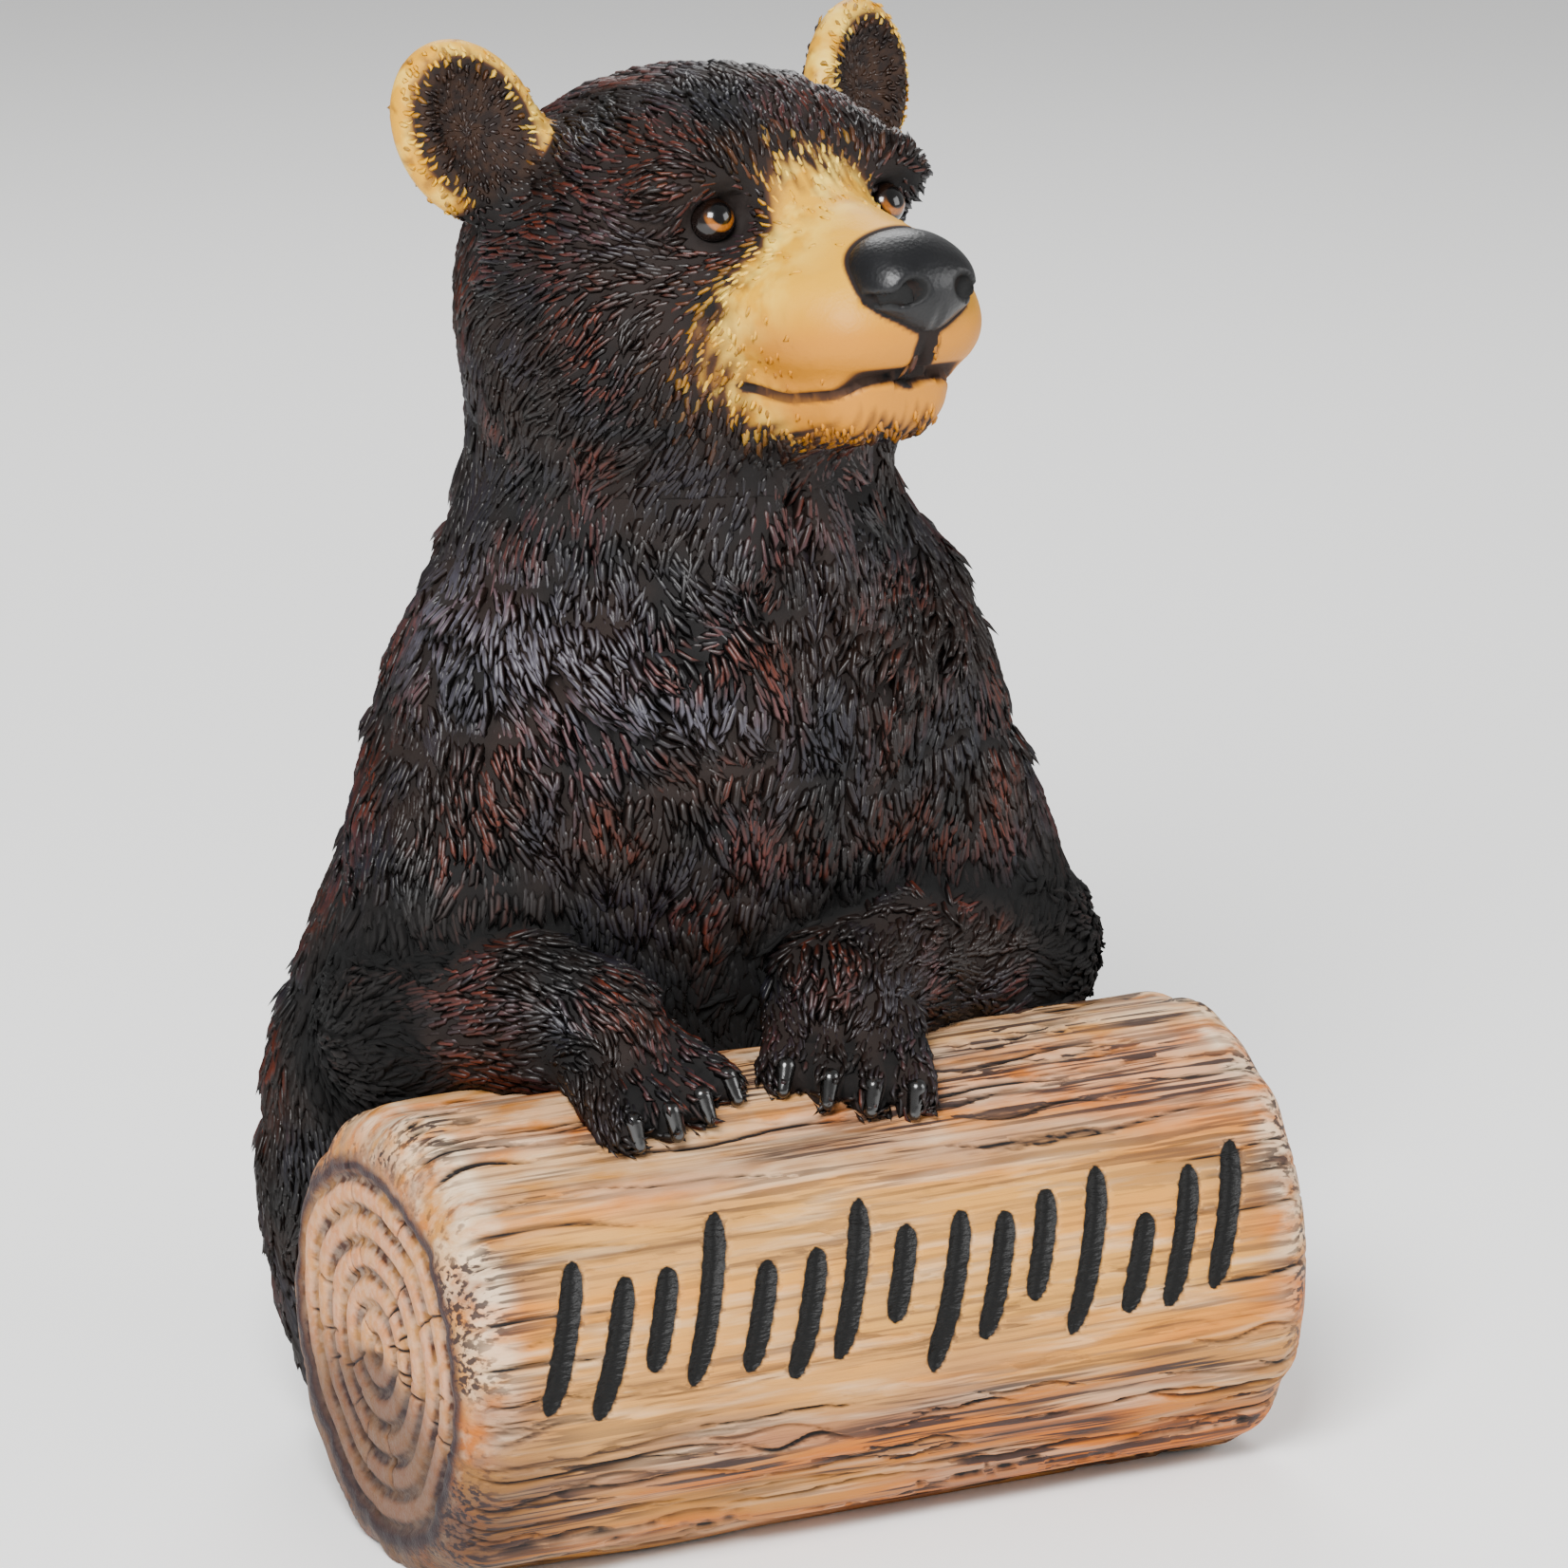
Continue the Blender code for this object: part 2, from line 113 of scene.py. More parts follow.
class CoatSettings(bpy.types.PropertyGroup):
    first_voxel: size("First grid", "Coarse grid on which the clay is first fused", 0.0024)
    head_voxel: size("Head grid", "Grid on which the head's skin is meshed", 0.00115)
    body_voxel: size("Body grid", "Grid on which the body's skin is meshed", 0.0018)
    tuft_spacing: size("Tuft spacing", "Least distance between the roots of two tufts", 0.0052)
    lock_spacing: size("Lock spacing", "Least distance between two carved locks", 0.00182)
    lock_width: size("Lock width", "Width of one carved lock", 0.0026)
    lock_height: size("Lock height", "How far a lock stands up from the skin", 0.00095)
    bands: IntProperty(name="Bands", description="How many pieces the locks are parted into", default=4)
    seed: IntProperty(name="Seed", description="Places and turns the tufts and locks", default=7)
    black: paint("Black", "The coat's main paint", "#060404")
    umber: paint("Umber", "Thin brown over the black", "#170d09")
    rust: paint("Rust", "Red-brown brushed over the tips", "#571f0c")
    # Slate is a painted sheen: cool grey laid on the crests where the black paint would shine
    sheen_slate: paint("Slate", "Cool grey brushed over the tips", "#2e2e3a")
    straw: paint("Straw", "Yellow tan of the muzzle", "#cb9200")
    amber: paint("Amber", "Orange of the lips", "#b57300")
    cream: paint("Cream", "Pale tips on the bridge of the nose", "#ecc850")
    cup: paint("Ear cup", "Brown inside the ears", "#2c1b10")


class FaceSettings(bpy.types.PropertyGroup):
    eye_radius: size("Eye radius", "Radius of each eyeball", EYE_RADIUS * UNIT)
    iris_radius: size("Iris radius", "Radius of the coloured iris", 0.0048)
    pupil_radius: size("Pupil radius", "Radius of the pupil", 0.0031)
    nose_voxel: size("Nose grid", "Grid on which nose and claws are meshed", 0.0007)
    iris: paint("Iris", "Amber of the iris", "#a5641f")
    nose: paint("Nose", "Satin black of the nose pad", "#050506")
    claw: paint("Claw", "Gloss black of the claws", "#040404")


class LogSettings(bpy.types.PropertyGroup):
    length: size("Length", "Length of the log", 0.241)
    diameter: size("Diameter", "Diameter of the log", 0.121)
    edge_rounding: size("Edge rounding", "Rounding of the log's two ends", 0.013)
    ring_spacing: size("Ring spacing", "From one growth ring to the next", 0.0084)
    ring_depth: size("Ring depth", "Depth of the grooves between the rings", 0.0018)
    grain_depth: size("Grain depth", "Depth of the broad furrows", 0.0016)
    gouges: IntProperty(name="Gouges", description="How many gouge cuts follow the grain", default=420)
    cracks: IntProperty(name="Cracks", description="How many drying cracks each end has", default=26)
    stroke_count: IntProperty(name="Strokes", description="How many chisel strokes in the row", default=15)
    stroke_pitch: size("Stroke pitch", "From one stroke to the next", 0.0134)
    stroke_width: size("Stroke width", "Width of a stroke", 0.0074)
    stroke_depth: size("Stroke depth", "Depth of a stroke", 0.0022)
    stroke_length: size("Stroke length", "Length of the longest stroke", 0.046)
    seed: IntProperty(name="Seed", description="Places the gouges and cracks", default=11)
    tan: paint("Tan", "The log's main paint", "#aa7436")
    honey: paint("Honey", "Orange brushed into the tan", "#b4610c")
    drab: paint("Drab", "Grey brown brushed along the grain", "#86644e")
    # Chalk also paints the highlight along the log's top and on its lit rims
    chalk: paint("Chalk", "Pale paint on the ridges", "#dbc4a4")
    wash: paint("Wash", "Dark wash in the cuts", "#120d0c")
    bark: paint("Bark", "Purple-brown ring of bark on the ends", "#2f1d1e")


class StageSettings(bpy.types.PropertyGroup):
    floor: paint("Floor", "Pale studio floor", "#fbfbfa")
    key_power: power("Key light", "Power of the main softbox", 78)
    fill_power: power("Fill light", "Power of the fill and back softboxes", 16)
    sky: FloatProperty(name="Sky", description="Strength of the even light all round", default=0.47, min=0)


# Clay


def ball(centre, radii, turn=(0, 0, 0)):
    """An ellipsoid of clay: centre and radii in design millimetres, turn in degrees."""
    return {
        "kind": "ball",
        "centre": np.array(centre, float),
        "radii": np.array(radii, float),
        "turn": np.array(Euler([math.radians(a) for a in turn]).to_matrix()),
    }


def limb(start, end, start_radius, end_radius):
    """A tapered sausage of clay between two points."""
    return {
        "kind": "limb",
        "start": np.array(start, float),
        "end": np.array(end, float),
        "radii": (start_radius, end_radius),
    }


def distance_to(form, p):
    """About how far each point lies outside one form."""
    if form["kind"] == "ball":
        q = (p - form["centre"]) @ form["turn"]
        near = np.linalg.norm(q / form["radii"], axis=1)
        steep = np.linalg.norm(q / form["radii"] ** 2, axis=1)
        return near * (near - 1) / np.maximum(steep, 1e-9)
    along = form["end"] - form["start"]
    share = np.clip((p - form["start"]) @ along / (along @ along), 0, 1)
    r0, r1 = form["radii"]
    gap = np.linalg.norm(p - form["start"] - share[:, None] * along, axis=1)
    return gap - (r0 + (r1 - r0) * share)


def join(a, b, blend):
    """The smooth union of two skins: blend is the width of the fillet between them."""
    h = np.maximum(blend - np.abs(a - b), 0) / blend
    return np.minimum(a, b) - h * h * blend / 4


def carve(a, b, blend):
    """Skin a with skin b taken out of it, the edge rounded by blend."""
    return -join(-a, b, blend)


def lump(forms, p, blend):
    """Several forms pressed into one."""
    found = distance_to(forms[0], p)
    for form in forms[1:]:
        found = join(found, distance_to(form, p), blend)
    return found


def ramp(value, low, high):
    """0 at low, 1 at high, with a soft start and stop."""
    share = np.clip((value - low) / (high - low), 0, 1)
    return share * share * (3 - 2 * share)


def within(value, inside, outside):
    """1 up to the inside value, 0 from the outside value on."""
    return 1 - ramp(value, inside, outside)


def in_head(p):
    """Points in the head's own frame: muzzle towards -Y, crown towards +Z."""
    return (p - HEAD_CENTRE) @ np.array(HEAD_TURN.to_matrix())


# The bear's forms: the torso's in the figure's frame, the others in the head's own
TORSO = [
    ball((0, 82, 74), (113, 56, 130)),
    ball((0, 66, 187), (73, 62, 74)),
    limb((-2, 68, 210), (-8, 62, 290), 54, 49),
]
SKULL = [
    ball((0, 4, 3), (55, 53, 50)),
    ball((0, -22, 20), (46, 32, 28)),
    ball((-30, -8, -20), (27, 36, 28)),
    ball((30, -8, -20), (27, 36, 28)),
]
MUZZLE = [
    limb((0, -36, -9), (0, -80, -14), 28, 17),
    ball((-13, -58, -11), (19, 30, 15)),
    ball((13, -58, -11), (19, 30, 15)),
    limb((0, -38, 10), (0, -80, -4), 17, 12),
    ball((-12, -76, -19), (14, 17, 11)),
    ball((12, -76, -19), (14, 17, 11)),
]
JAW = [
    limb((-9, -26, -29), (-7, -73, -33), 18, 12),
    limb((9, -26, -29), (7, -73, -33), 18, 12),
]
NOSE = [
    ball((0, -87, -3), (15, 12, 9)),
    ball((0, -92, -8), (13, 11, 9)),
    ball((-8.5, -92, -8), (6.8, 9, 6.8)),
    ball((8.5, -92, -8), (6.8, 9, 6.8)),
    ball((0, -91, -14), (7, 9, 6)),
]
NOSTRILS = []
for side in (-1, 1):
    NOSTRILS.append(limb((side * 6.5, -106, -9), (side * 9, -99, -9.5), 3.3, 2.6))
    NOSTRILS.append(limb((side * 9, -101, -10), (side * 16, -93, -10.5), 1.9, 1.2))
PHILTRUM = [limb((0, -106, -12), (0, -95, -24), 1.3, 1.3), limb((0, -95, -24), (0, -88, -30), 1.3, 1.6)]
EYES = [(side * 27, -48, 13) for side in (-1, 1)]
EYEBALLS = [ball(eye, (EYE_RADIUS,) * 3) for eye in EYES]
EYE_SOCKETS = [ball((x, y - 5, z), (8.8, 6.8, 6.6)) for x, y, z in EYES]
BROWS = [ball((side * 28, -44, 24), (16, 9.5, 7), (0, side * 16, 0)) for side in (-1, 1)]
EARS = []
EAR_CUPS = []
for side, out, rise in ((-1, 59, 41), (1, 65, 44)):
    turn = (0, side * 24, side * 16)
    EARS.append(ball((side * out, 8, rise), (19, 9, 24.5), turn))
    EAR_CUPS.append(ball((side * (out + 1), -2, rise + 2), (13.5, 9.5, 18), turn))


def chain(points, radius):
    """Limbs of one thickness end to end."""
    return [limb(a, b, radius, radius) for a, b in zip(points, points[1:])]


def lid(side, rise):
    """The rim of one eyelid, arched over or under the eye."""
    x, y, z = EYES[(side + 1) // 2]
    arch = []
    for n in range(7):
        turn = math.pi * n / 6
        across = -side * 8.2 * math.cos(turn)
        fall = 1.5 * math.cos(turn)
        arch.append((x + across, y - 1.5 - 3.4 * math.sin(turn), z + rise * math.sin(turn) + fall))
    return chain(arch, 1.5)


LIDS = [lid(side, rise) for side in (-1, 1) for rise in (4.4, -4.6)]


def mouth(q):
    """Less than 0 in the thin slot where the lips meet: it dips on each side and ends at the cheeks."""
    x, y, z = q.T
    height = -33 + 4 * ramp(-y, 78, 88) + 4.5 * ramp(y, -66, -46)
    opened = ramp(-y, 46, 52) * within(np.abs(x), 30, 34)
    return np.abs(z - height) + 1.6 - 2.6 * opened


def on_log(x, arc, lift):
    """A design point above the log: arc is measured round from its top towards the front."""
    radius = bpy.context.scene.log_settings.diameter / 2 / UNIT
    angle = arc / radius
    reach = radius + lift
    middle = radius - LOG_FLAT_DEPTH / UNIT
    return np.array((x, -reach * math.sin(angle), middle + reach * math.cos(angle)))


def paw(x, arc, heading):
    """One paw lying on the log, its toes pointing along heading: hand, toes, claws and toe gaps."""
    turn = math.radians(heading)
    ahead = np.array((math.sin(turn), math.cos(turn)))
    across = np.array((math.cos(turn), -math.sin(turn)))

    def spot(forward, sideways, lift):
        move = forward * ahead + sideways * across
        return on_log(x + move[0], arc + move[1], lift)

    hand = [limb(spot(-14, 0, 13), spot(-6, 0, 8.5), 16, 12.8)]
    toes = []
    claws = []
    gaps = []
    for fan in (-11, 0, 11):
        knuckle = spot(10, fan * 0.9, 9.3)
        gaps.append(limb(spot(2, fan * 0.8, 17.5), knuckle, 1.0, 1.6))
        gaps.append(limb(knuckle, spot(24, fan, 4.5), 1.6, 2.2))
    for n in range(4):
        fan = (n - 1.5) * 11
        reach = 17 - 1.3 * abs(n - 1.5) ** 1.6
        toes.append(limb(spot(-6, fan * 0.75, 10), spot(reach, fan, 4.2), 6.6, 6.0))
        claws.append(limb(spot(reach + 3, fan, 8.2), spot(reach + 7.2, fan * 1.02, 3.8), 2.4, 1.6))
    return hand, toes, claws, gaps


def make_arms():
    """The two arms, from shoulder to claws."""
    arms = []
    # Elbow and wrist lean on the log: along it, round it and above it, as in on_log
    for shoulder, elbow, wrist, place in (
        ((-50, 66, 191), (-87, -35.8, 22), (-70, -17.2, 18.1), (-53, 7, 18)),
        ((50, 66, 191), (80, -35.4, 19.2), (31, -16.6, 16.9), (7, 9, -24)),
    ):
        elbow, wrist = on_log(*elbow), on_log(*wrist)
        hand, toes, claws, gaps = paw(*place)
        fore = [limb(elbow, wrist, 25, 19), limb(wrist, hand[0]["start"], 19, 16), *hand]
        upper = [limb(shoulder, elbow, 30, 24)]
        arms.append({"upper": upper, "fore": fore, "toes": toes, "claws": claws, "gaps": gaps})
    return arms


def head_distance(p):
    q = in_head(p)
    d = lump(SKULL, q, 14)
    d = join(d, lump(MUZZLE, q, 10), 16)
    d = join(d, lump(JAW, q, 8), 6)
    d = join(d, lump(BROWS, q, 3), 10)
    d = join(d, lump(NOSE, q, 5), 1.5)
    for ear, cup in zip(EARS, EAR_CUPS):
        d = join(d, distance_to(ear, q), 9)
        d = carve(d, distance_to(cup, q), 3)
    d = carve(d, lump(EYE_SOCKETS, q, 1), 4)
    d = join(d, lump(EYEBALLS, q, 1), 0.6)
    for rim in LIDS:
        d = join(d, lump(rim, q, 1), 2)
    d = carve(d, np.maximum(mouth(q), -d - 2.6), 1.2)
    return carve(d, lump(NOSTRILS + PHILTRUM, q, 1), 1.2)


def clumps(p):
    """How far the coat's broad carved locks stand up: columns of points hanging down the body."""
    width, length, depth = 24.0, 37.0, 2.9
    x, y, z = p.T
    around = np.arctan2(x, 70 - y) * 78 / width + 0.32 * np.sin(z / 23 + x / 40)
    column = np.floor(around)
    across = np.abs(around - column - 0.5) * 2
    down = (300 - z) / length + 0.62 * column + 0.25 * np.sin(column * 2.1)
    fall = down - np.floor(down)
    edge = np.clip(1.3 - across - fall * 0.6, 0, 1)
    ridge = np.sqrt(edge) * (0.35 + 0.65 * fall) * np.clip((1 - fall) / 0.35, 0, 1)
    above_paws = np.clip((z - 150 + 1.7 * np.maximum(y - 40, 0)) / 24, 0, 1)
    below_head = np.clip((282 + 0.25 * y - z) / 26, 0, 1)
    return depth * (ridge - 0.35) * above_paws * below_head


def ruff(p):
    """How far the ruff stands up: the coat's long front edge, hanging from the shoulders."""
    x, y, z = p.T
    edge = 206 + 40 * np.exp(-((x / 13) ** 2)) + 0.013 * (np.abs(x) - 36) ** 2
    edge += 3.2 * np.sin(x / 3.3) + 2.2 * np.sin(x / 1.9 + 1)
    rise = z - edge
    return 3.4 * ramp(rise, 0, 4.5) * (1 - ramp(rise, 6, 42)) * ramp(-y, -78, -50)


def torso_distance(p, arms):
    d = lump(TORSO, p, 34)
    for arm in arms:
        d = join(d, lump(arm["upper"], p, 10), 24)
    return d - clumps(p) - ruff(p)


def bear_distance(p, arms):
    d = join(torso_distance(p, arms), head_distance(p), 18)
    for arm in arms:
        d = join(d, lump(arm["fore"], p, 9), 4)
        d = join(d, lump(arm["toes"], p, 0.8), 2.5)
        d = carve(d, lump(arm["gaps"], p, 1), 1.5)
        d = join(d, lump(arm["claws"], p, 1), 1)
    return d


# Meshing


def beads_of(form):
    """The matrices that lay out one form as unit balls, for the remesher to fuse."""
    if form["kind"] == "ball":
        turn = Matrix(form["turn"].tolist()).to_4x4()
        stretch = Matrix.Diagonal((*form["radii"], 1))
        return [Matrix.Translation(Vector(form["centre"])) @ turn @ stretch]
    start, end = Vector(form["start"]), Vector(form["end"])
    r0, r1 = form["radii"]
    count = max(2, math.ceil((end - start).length / (0.35 * min(r0, r1))) + 1)
    shares = [n / (count - 1) for n in range(count)]
    return [Matrix.Translation(start.lerp(end, s)) @ Matrix.Scale(r0 + (r1 - r0) * s, 4) for s in shares]


def mesh_from(bm, name):
    """Ends a bmesh as a mesh of that name."""
    mesh = bpy.data.meshes.new(name)
    bm.to_mesh(mesh)
    bm.free()
    return mesh


def block_out(name, placed_forms):
    """Forms, each with its place, as one mesh of overlapping balls."""
    bm = bmesh.new()
    bmesh.ops.create_icosphere(bm, subdivisions=3, radius=1)
    one = bpy.data.meshes.new("unit_ball")
    bm.to_mesh(one)
    bm.clear()
    for form, place in placed_forms:
        for bead in beads_of(form):
            copy = one.copy()
            copy.transform(Matrix.Scale(UNIT, 4) @ place @ bead)
            bm.from_mesh(copy)
            bpy.data.meshes.remove(copy)
    bpy.data.meshes.remove(one)
    return mesh_from(bm, name)


def points_of(mesh):
    """The mesh's vertices in design millimetres."""
    p = np.empty(len(mesh.vertices) * 3)
    mesh.vertices.foreach_get("co", p)
    return p.reshape(-1, 3) / UNIT


def draw_onto_skin(mesh, distance, steps):
    """Moves each vertex along the slope of the distance until it lies on the skin."""
    p = points_of(mesh)
    probe = 0.05
    corners = np.array(((1, 1, 1), (1, -1, -1), (-1, 1, -1), (-1, -1, 1)), float)
    for _ in range(steps):
        d = distance(p)
        slope = sum(c * (distance(p + probe * c))[:, None] for c in corners)
        slope /= np.maximum(np.linalg.norm(slope, axis=1, keepdims=True), 1e-9)
        p -= slope * np.clip(d, -6, 6)[:, None]
    mesh.vertices.foreach_set("co", (p * UNIT).ravel())
    mesh.update()


def add_piece(name, mesh):
    piece = bpy.data.objects.new(name, mesh)
    bpy.context.scene.collection.objects.link(piece)
    return piece


def apply_modifiers(piece):
    """Turns a piece's modifiers into its plain mesh."""
    graph = bpy.context.evaluated_depsgraph_get()
    mesh = bpy.data.meshes.new_from_object(piece.evaluated_get(graph))
    piece.modifiers.clear()
    old, piece.data = piece.data, mesh
    name = old.name
    bpy.data.meshes.remove(old)
    mesh.name = name


def remesh(piece, voxel):
    modifier = piece.modifiers.new("remesh", "REMESH")
    modifier.mode = "VOXEL"
    modifier.voxel_size = voxel
    apply_modifiers(piece)


def mould(name, placed_forms, distance, voxels):
    """A closed skin: the forms are fused on each voxel grid in turn and drawn onto the distance."""
    piece = add_piece(name, block_out(name, placed_forms))
    for voxel, steps in voxels:
        remesh(piece, voxel)
        draw_onto_skin(piece.data, distance, steps)
    return piece


def keep_half(piece, height, above):
    """Cuts a piece level at a height and keeps one half, closed."""
    bm = bmesh.new()
    bm.from_mesh(piece.data)
    cut = bmesh.ops.bisect_plane(
        bm,
        geom=[*bm.verts, *bm.edges, *bm.faces],
        dist=1e-7,
        plane_co=(0, 0, height),
        plane_no=(0, 0, 1),
        clear_inner=above,
        clear_outer=not above,
    )
    rim = [e for e in cut["geom_cut"] if isinstance(e, bmesh.types.BMEdge)]
    bmesh.ops.triangle_fill(bm, edges=rim, use_beauty=True)
    bmesh.ops.recalc_face_normals(bm, faces=bm.faces)
    bm.to_mesh(piece.data)
    bm.free()


def store(mesh, name, values):
    """Keeps one number or vector for each vertex."""
    values = np.asarray(values, float)
    kind, key = ("FLOAT", "value") if values.ndim == 1 else ("FLOAT_VECTOR", "vector")
    mesh.attributes.new(name, kind, "POINT").data.foreach_set(key, values.ravel())


def finish_piece(piece, material=None):
    """Rides the piece on the casting, in place of its plain solid."""
    if material is not None:
        piece.data.materials.clear()
        piece.data.materials.append(material)
    piece.data.shade_smooth()
    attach(piece, "root")
    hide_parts(NODE)


# Where the coat lies, how it is painted and which way it is carved


def muzzle_tan(q):
    """1 on the yellow muzzle and chin, fading up the bridge of the nose and under the jaw."""
    x, y, z = q.T
    bridge = 17 * np.exp(-((x / 11) ** 2)) * ramp(z, -6, 12)
    lips = 9 * ramp(-z, 2, 26)
    streaks = 2.0 * np.sin(x * 1.9 + 2 * np.sin(z / 5)) + 1.5 * np.sin(z / 1.7 + x / 2.3)
    tan = ramp(-y + bridge + lips + streaks, 42, 70)
    tan = tan * (1 - ramp(z + streaks * 1.5, 14, 38)) * ramp(z + streaks, -50, -36)
    for eye in EYES:
        tan = tan * ramp(np.linalg.norm(q - np.array(eye), axis=1), 10, 18)
    tan = tan * ramp(lump(PHILTRUM, q, 1), 1.0, 3.2)
    tan = tan * ramp(mouth(q), -0.6, 0.9)
    return tan * ramp(lump(NOSE, q, 5), 0.3, 2.0)


def on_ear(q, ear):
    """Points in an ear's own frame, and how far out they are: 0 at its middle, 1 at its outline."""
    r = (q - ear["centre"]) @ ear["turn"]
    return r, np.hypot(r[:, 0] / ear["radii"][0], r[:, 2] / ear["radii"][2])


def ear_parts(q):
    """How far each point belongs to an ear's pale rim, and to its brown cup."""
    rim = np.zeros(len(q))
    cup = np.zeros(len(q))
    for ear in EARS:
        r, across = on_ear(q, ear)
        near = ramp(-distance_to(ear, q), -5, -2) * ramp(r[:, 2], -21, -12)
        inner = ramp(-r[:, 1], -6, -3)
        rim = np.maximum(rim, near * inner * ramp(across, 0.68, 0.94))
        cup = np.maximum(cup, near * ramp(-r[:, 1], -3, 0) * ramp(-across, -0.95, -0.7))
    return rim, cup


def flow_at(p, normals, arms):
    """The way the carved locks lie: back from the nose, down the body and along the arms."""
    x, y, z = p.T
    q = in_head(p)
    turn = np.array(HEAD_TURN.to_matrix())
    fan = q - np.array((0, -100, -6))
    fan /= np.linalg.norm(fan, axis=1, keepdims=True)
    fan[:, 2] -= 0.5 * ramp(-q[:, 2], -20, 25) + 1.3 * ramp(q[:, 1], -20, 30)
    head_flow = fan @ turn.T
    body_flow = np.zeros_like(p)
    body_flow[:, 2] = -1
    front = ramp(-y, -70, -20)
    body_flow[:, 0] = -0.75 * np.tanh(x / 30) * front * ramp(z, 150, 235)
    body_flow[:, 0] -= 0.6 * np.tanh(x / 24) * front * ramp(-z, -150, -120)
    body_flow[:, 1] = -0.35 * ramp(np.abs(x), 40, 85)
    share = ramp(z, 246, 284)[:, None]
    flow = head_flow * share + body_flow * (1 - share)
    for arm in arms:
        for form in arm["upper"] + arm["fore"] + arm["toes"]:
            near = ramp(-distance_to(form, p), -8, 0)[:, None]
            along = form["end"] - form["start"]
            along = along / np.linalg.norm(along)
            weight = near * (0.5 if form is arm["upper"][0] else 1.0)
            flow = flow * (1 - weight) + along * weight
    for ear in EARS:
        r = q - ear["centre"]
        near = ramp(-distance_to(ear, q), -5, -1)[:, None]
        out = r / np.maximum(np.linalg.norm(r, axis=1, keepdims=True), 1e-6)
        inward = np.where((r @ ear["turn"])[:, 1:2] < 1, -1, 1)
        flow = flow * (1 - near) + (out @ turn.T) * near * inward
    flow = along_skin(flow, normals)
    swirl = 0.38 * np.sin(x / 12 + z / 17) * np.sin(z / 14 - y / 10) + 0.2 * np.sin(x / 5 + y / 6 + z / 8)
    side = np.cross(normals, flow)
    return flow * np.cos(swirl)[:, None] + side * np.sin(swirl)[:, None]


def along_skin(flow, normals):
    """Unit vectors along the skin, from any vectors."""
    flow = flow - normals * np.sum(flow * normals, axis=1, keepdims=True)
    return flow / np.maximum(np.linalg.norm(flow, axis=1, keepdims=True), 1e-6)


def coat_length(p, arms):
    """Length of the coat's locks in design millimetres: long on the body, short on face and paws."""
    z = p[:, 2]
    q = in_head(p)
    length = np.full(len(p), 9.6)
    length -= 2.2 * ramp(z, 262, 292)
    length -= 1.4 * ramp(-q[:, 1], 10, 45) * ramp(z, 262, 292)
    length -= 1.2 * np.maximum.reduce([ramp(-lump(arm["fore"], p, 9), -8, 0) for arm in arms])
    length -= 3.2 * np.maximum.reduce([ramp(-lump(arm["toes"], p, 2), -4, 0) for arm in arms])
    length -= 4.4 * np.maximum.reduce([within(distance_to(ear, q), 1, 5) for ear in EARS])
    return np.maximum(length, 2.2)


def coat_cover(p, arms):
    """1 where the coat is carved, 0 on nose, eyelids, lips, claws and where the log begins."""
    q = in_head(p)
    nose = within(lump(NOSE, q, 5), 0.4, 1.8)
    lids = np.maximum.reduce([within(lump(part, q, 1), 0.6, 2.0) for part in (*LIDS, EYEBALLS)])
    seam = within(mouth(q), 0.3, 2.0) * within(q[:, 1], -50, -44) * within(np.abs(q[:, 0]), 27, 31)
    lips = np.maximum(within(lump(PHILTRUM, q, 1), 0.8, 2.6), seam)
    claws = np.maximum.reduce([within(lump(arm["claws"], p, 1), 0.5, 1.6) for arm in arms])
    radius = bpy.context.scene.log_settings.diameter / 2 / UNIT
    log_gap = np.hypot(p[:, 1], p[:, 2] - (radius - LOG_FLAT_DEPTH / UNIT)) - radius
    clear = (log_gap > -1.5) | (np.abs(p[:, 0]) > 118)
    bare = np.maximum.reduce([nose, lids, lips, claws])
    return (1 - bare) * clear * ramp(p[:, 2], 4, 10)


def neighbours_of(points):
    """A tree that finds the points near a place."""
    tree = KDTree(len(points))
    for n, point in enumerate(points):
        tree.insert(point, n)
    tree.balance()
    return tree


def scatter(points, spacing, rng):
    """Picks points in random order, none nearer to another than the spacing."""
    tree = neighbours_of(points)
    free = np.ones(len(points), bool)
    chosen = []
    for n in rng.permutation(len(points)):
        if free[n]:
            chosen.append(n)
            free[[hit[1] for hit in tree.find_range(points[n], spacing)]] = False
    return np.array(chosen)


def normals_of(mesh):
    """The mesh's outward directions, one for each vertex."""
    normals = np.empty(len(mesh.vertices) * 3)
    mesh.vertices.foreach_get("normal", normals)
    return normals.reshape(-1, 3)


def plan_tufts(mesh, arms):
    """The tufts into which the coat is gathered: root, direction, normal, length and lean of each."""
    s = bpy.context.scene.coat_settings
    rng = np.random.default_rng(s.seed)
    p, normals = points_of(mesh), normals_of(mesh)
    roots = scatter(p, s.tuft_spacing / UNIT, rng)
    p, normals = p[roots], normals[roots]
    flow = flow_at(p, normals, arms)
    turn = rng.normal(0, 0.3, len(p))[:, None]
    flow = flow * np.cos(turn) + np.cross(normals, flow) * np.sin(turn)
    length = 1.55 * coat_length(p, arms) * rng.uniform(0.75, 1.25, len(p))
    length *= 1 - 0.45 * muzzle_tan(in_head(p))
    keep = coat_cover(p, arms) > 0.5
    bend = rng.uniform(-0.35, 0.35, len(p))
    return [(p[n], flow[n], normals[n], length[n], bend[n]) for n in np.flatnonzero(keep)]


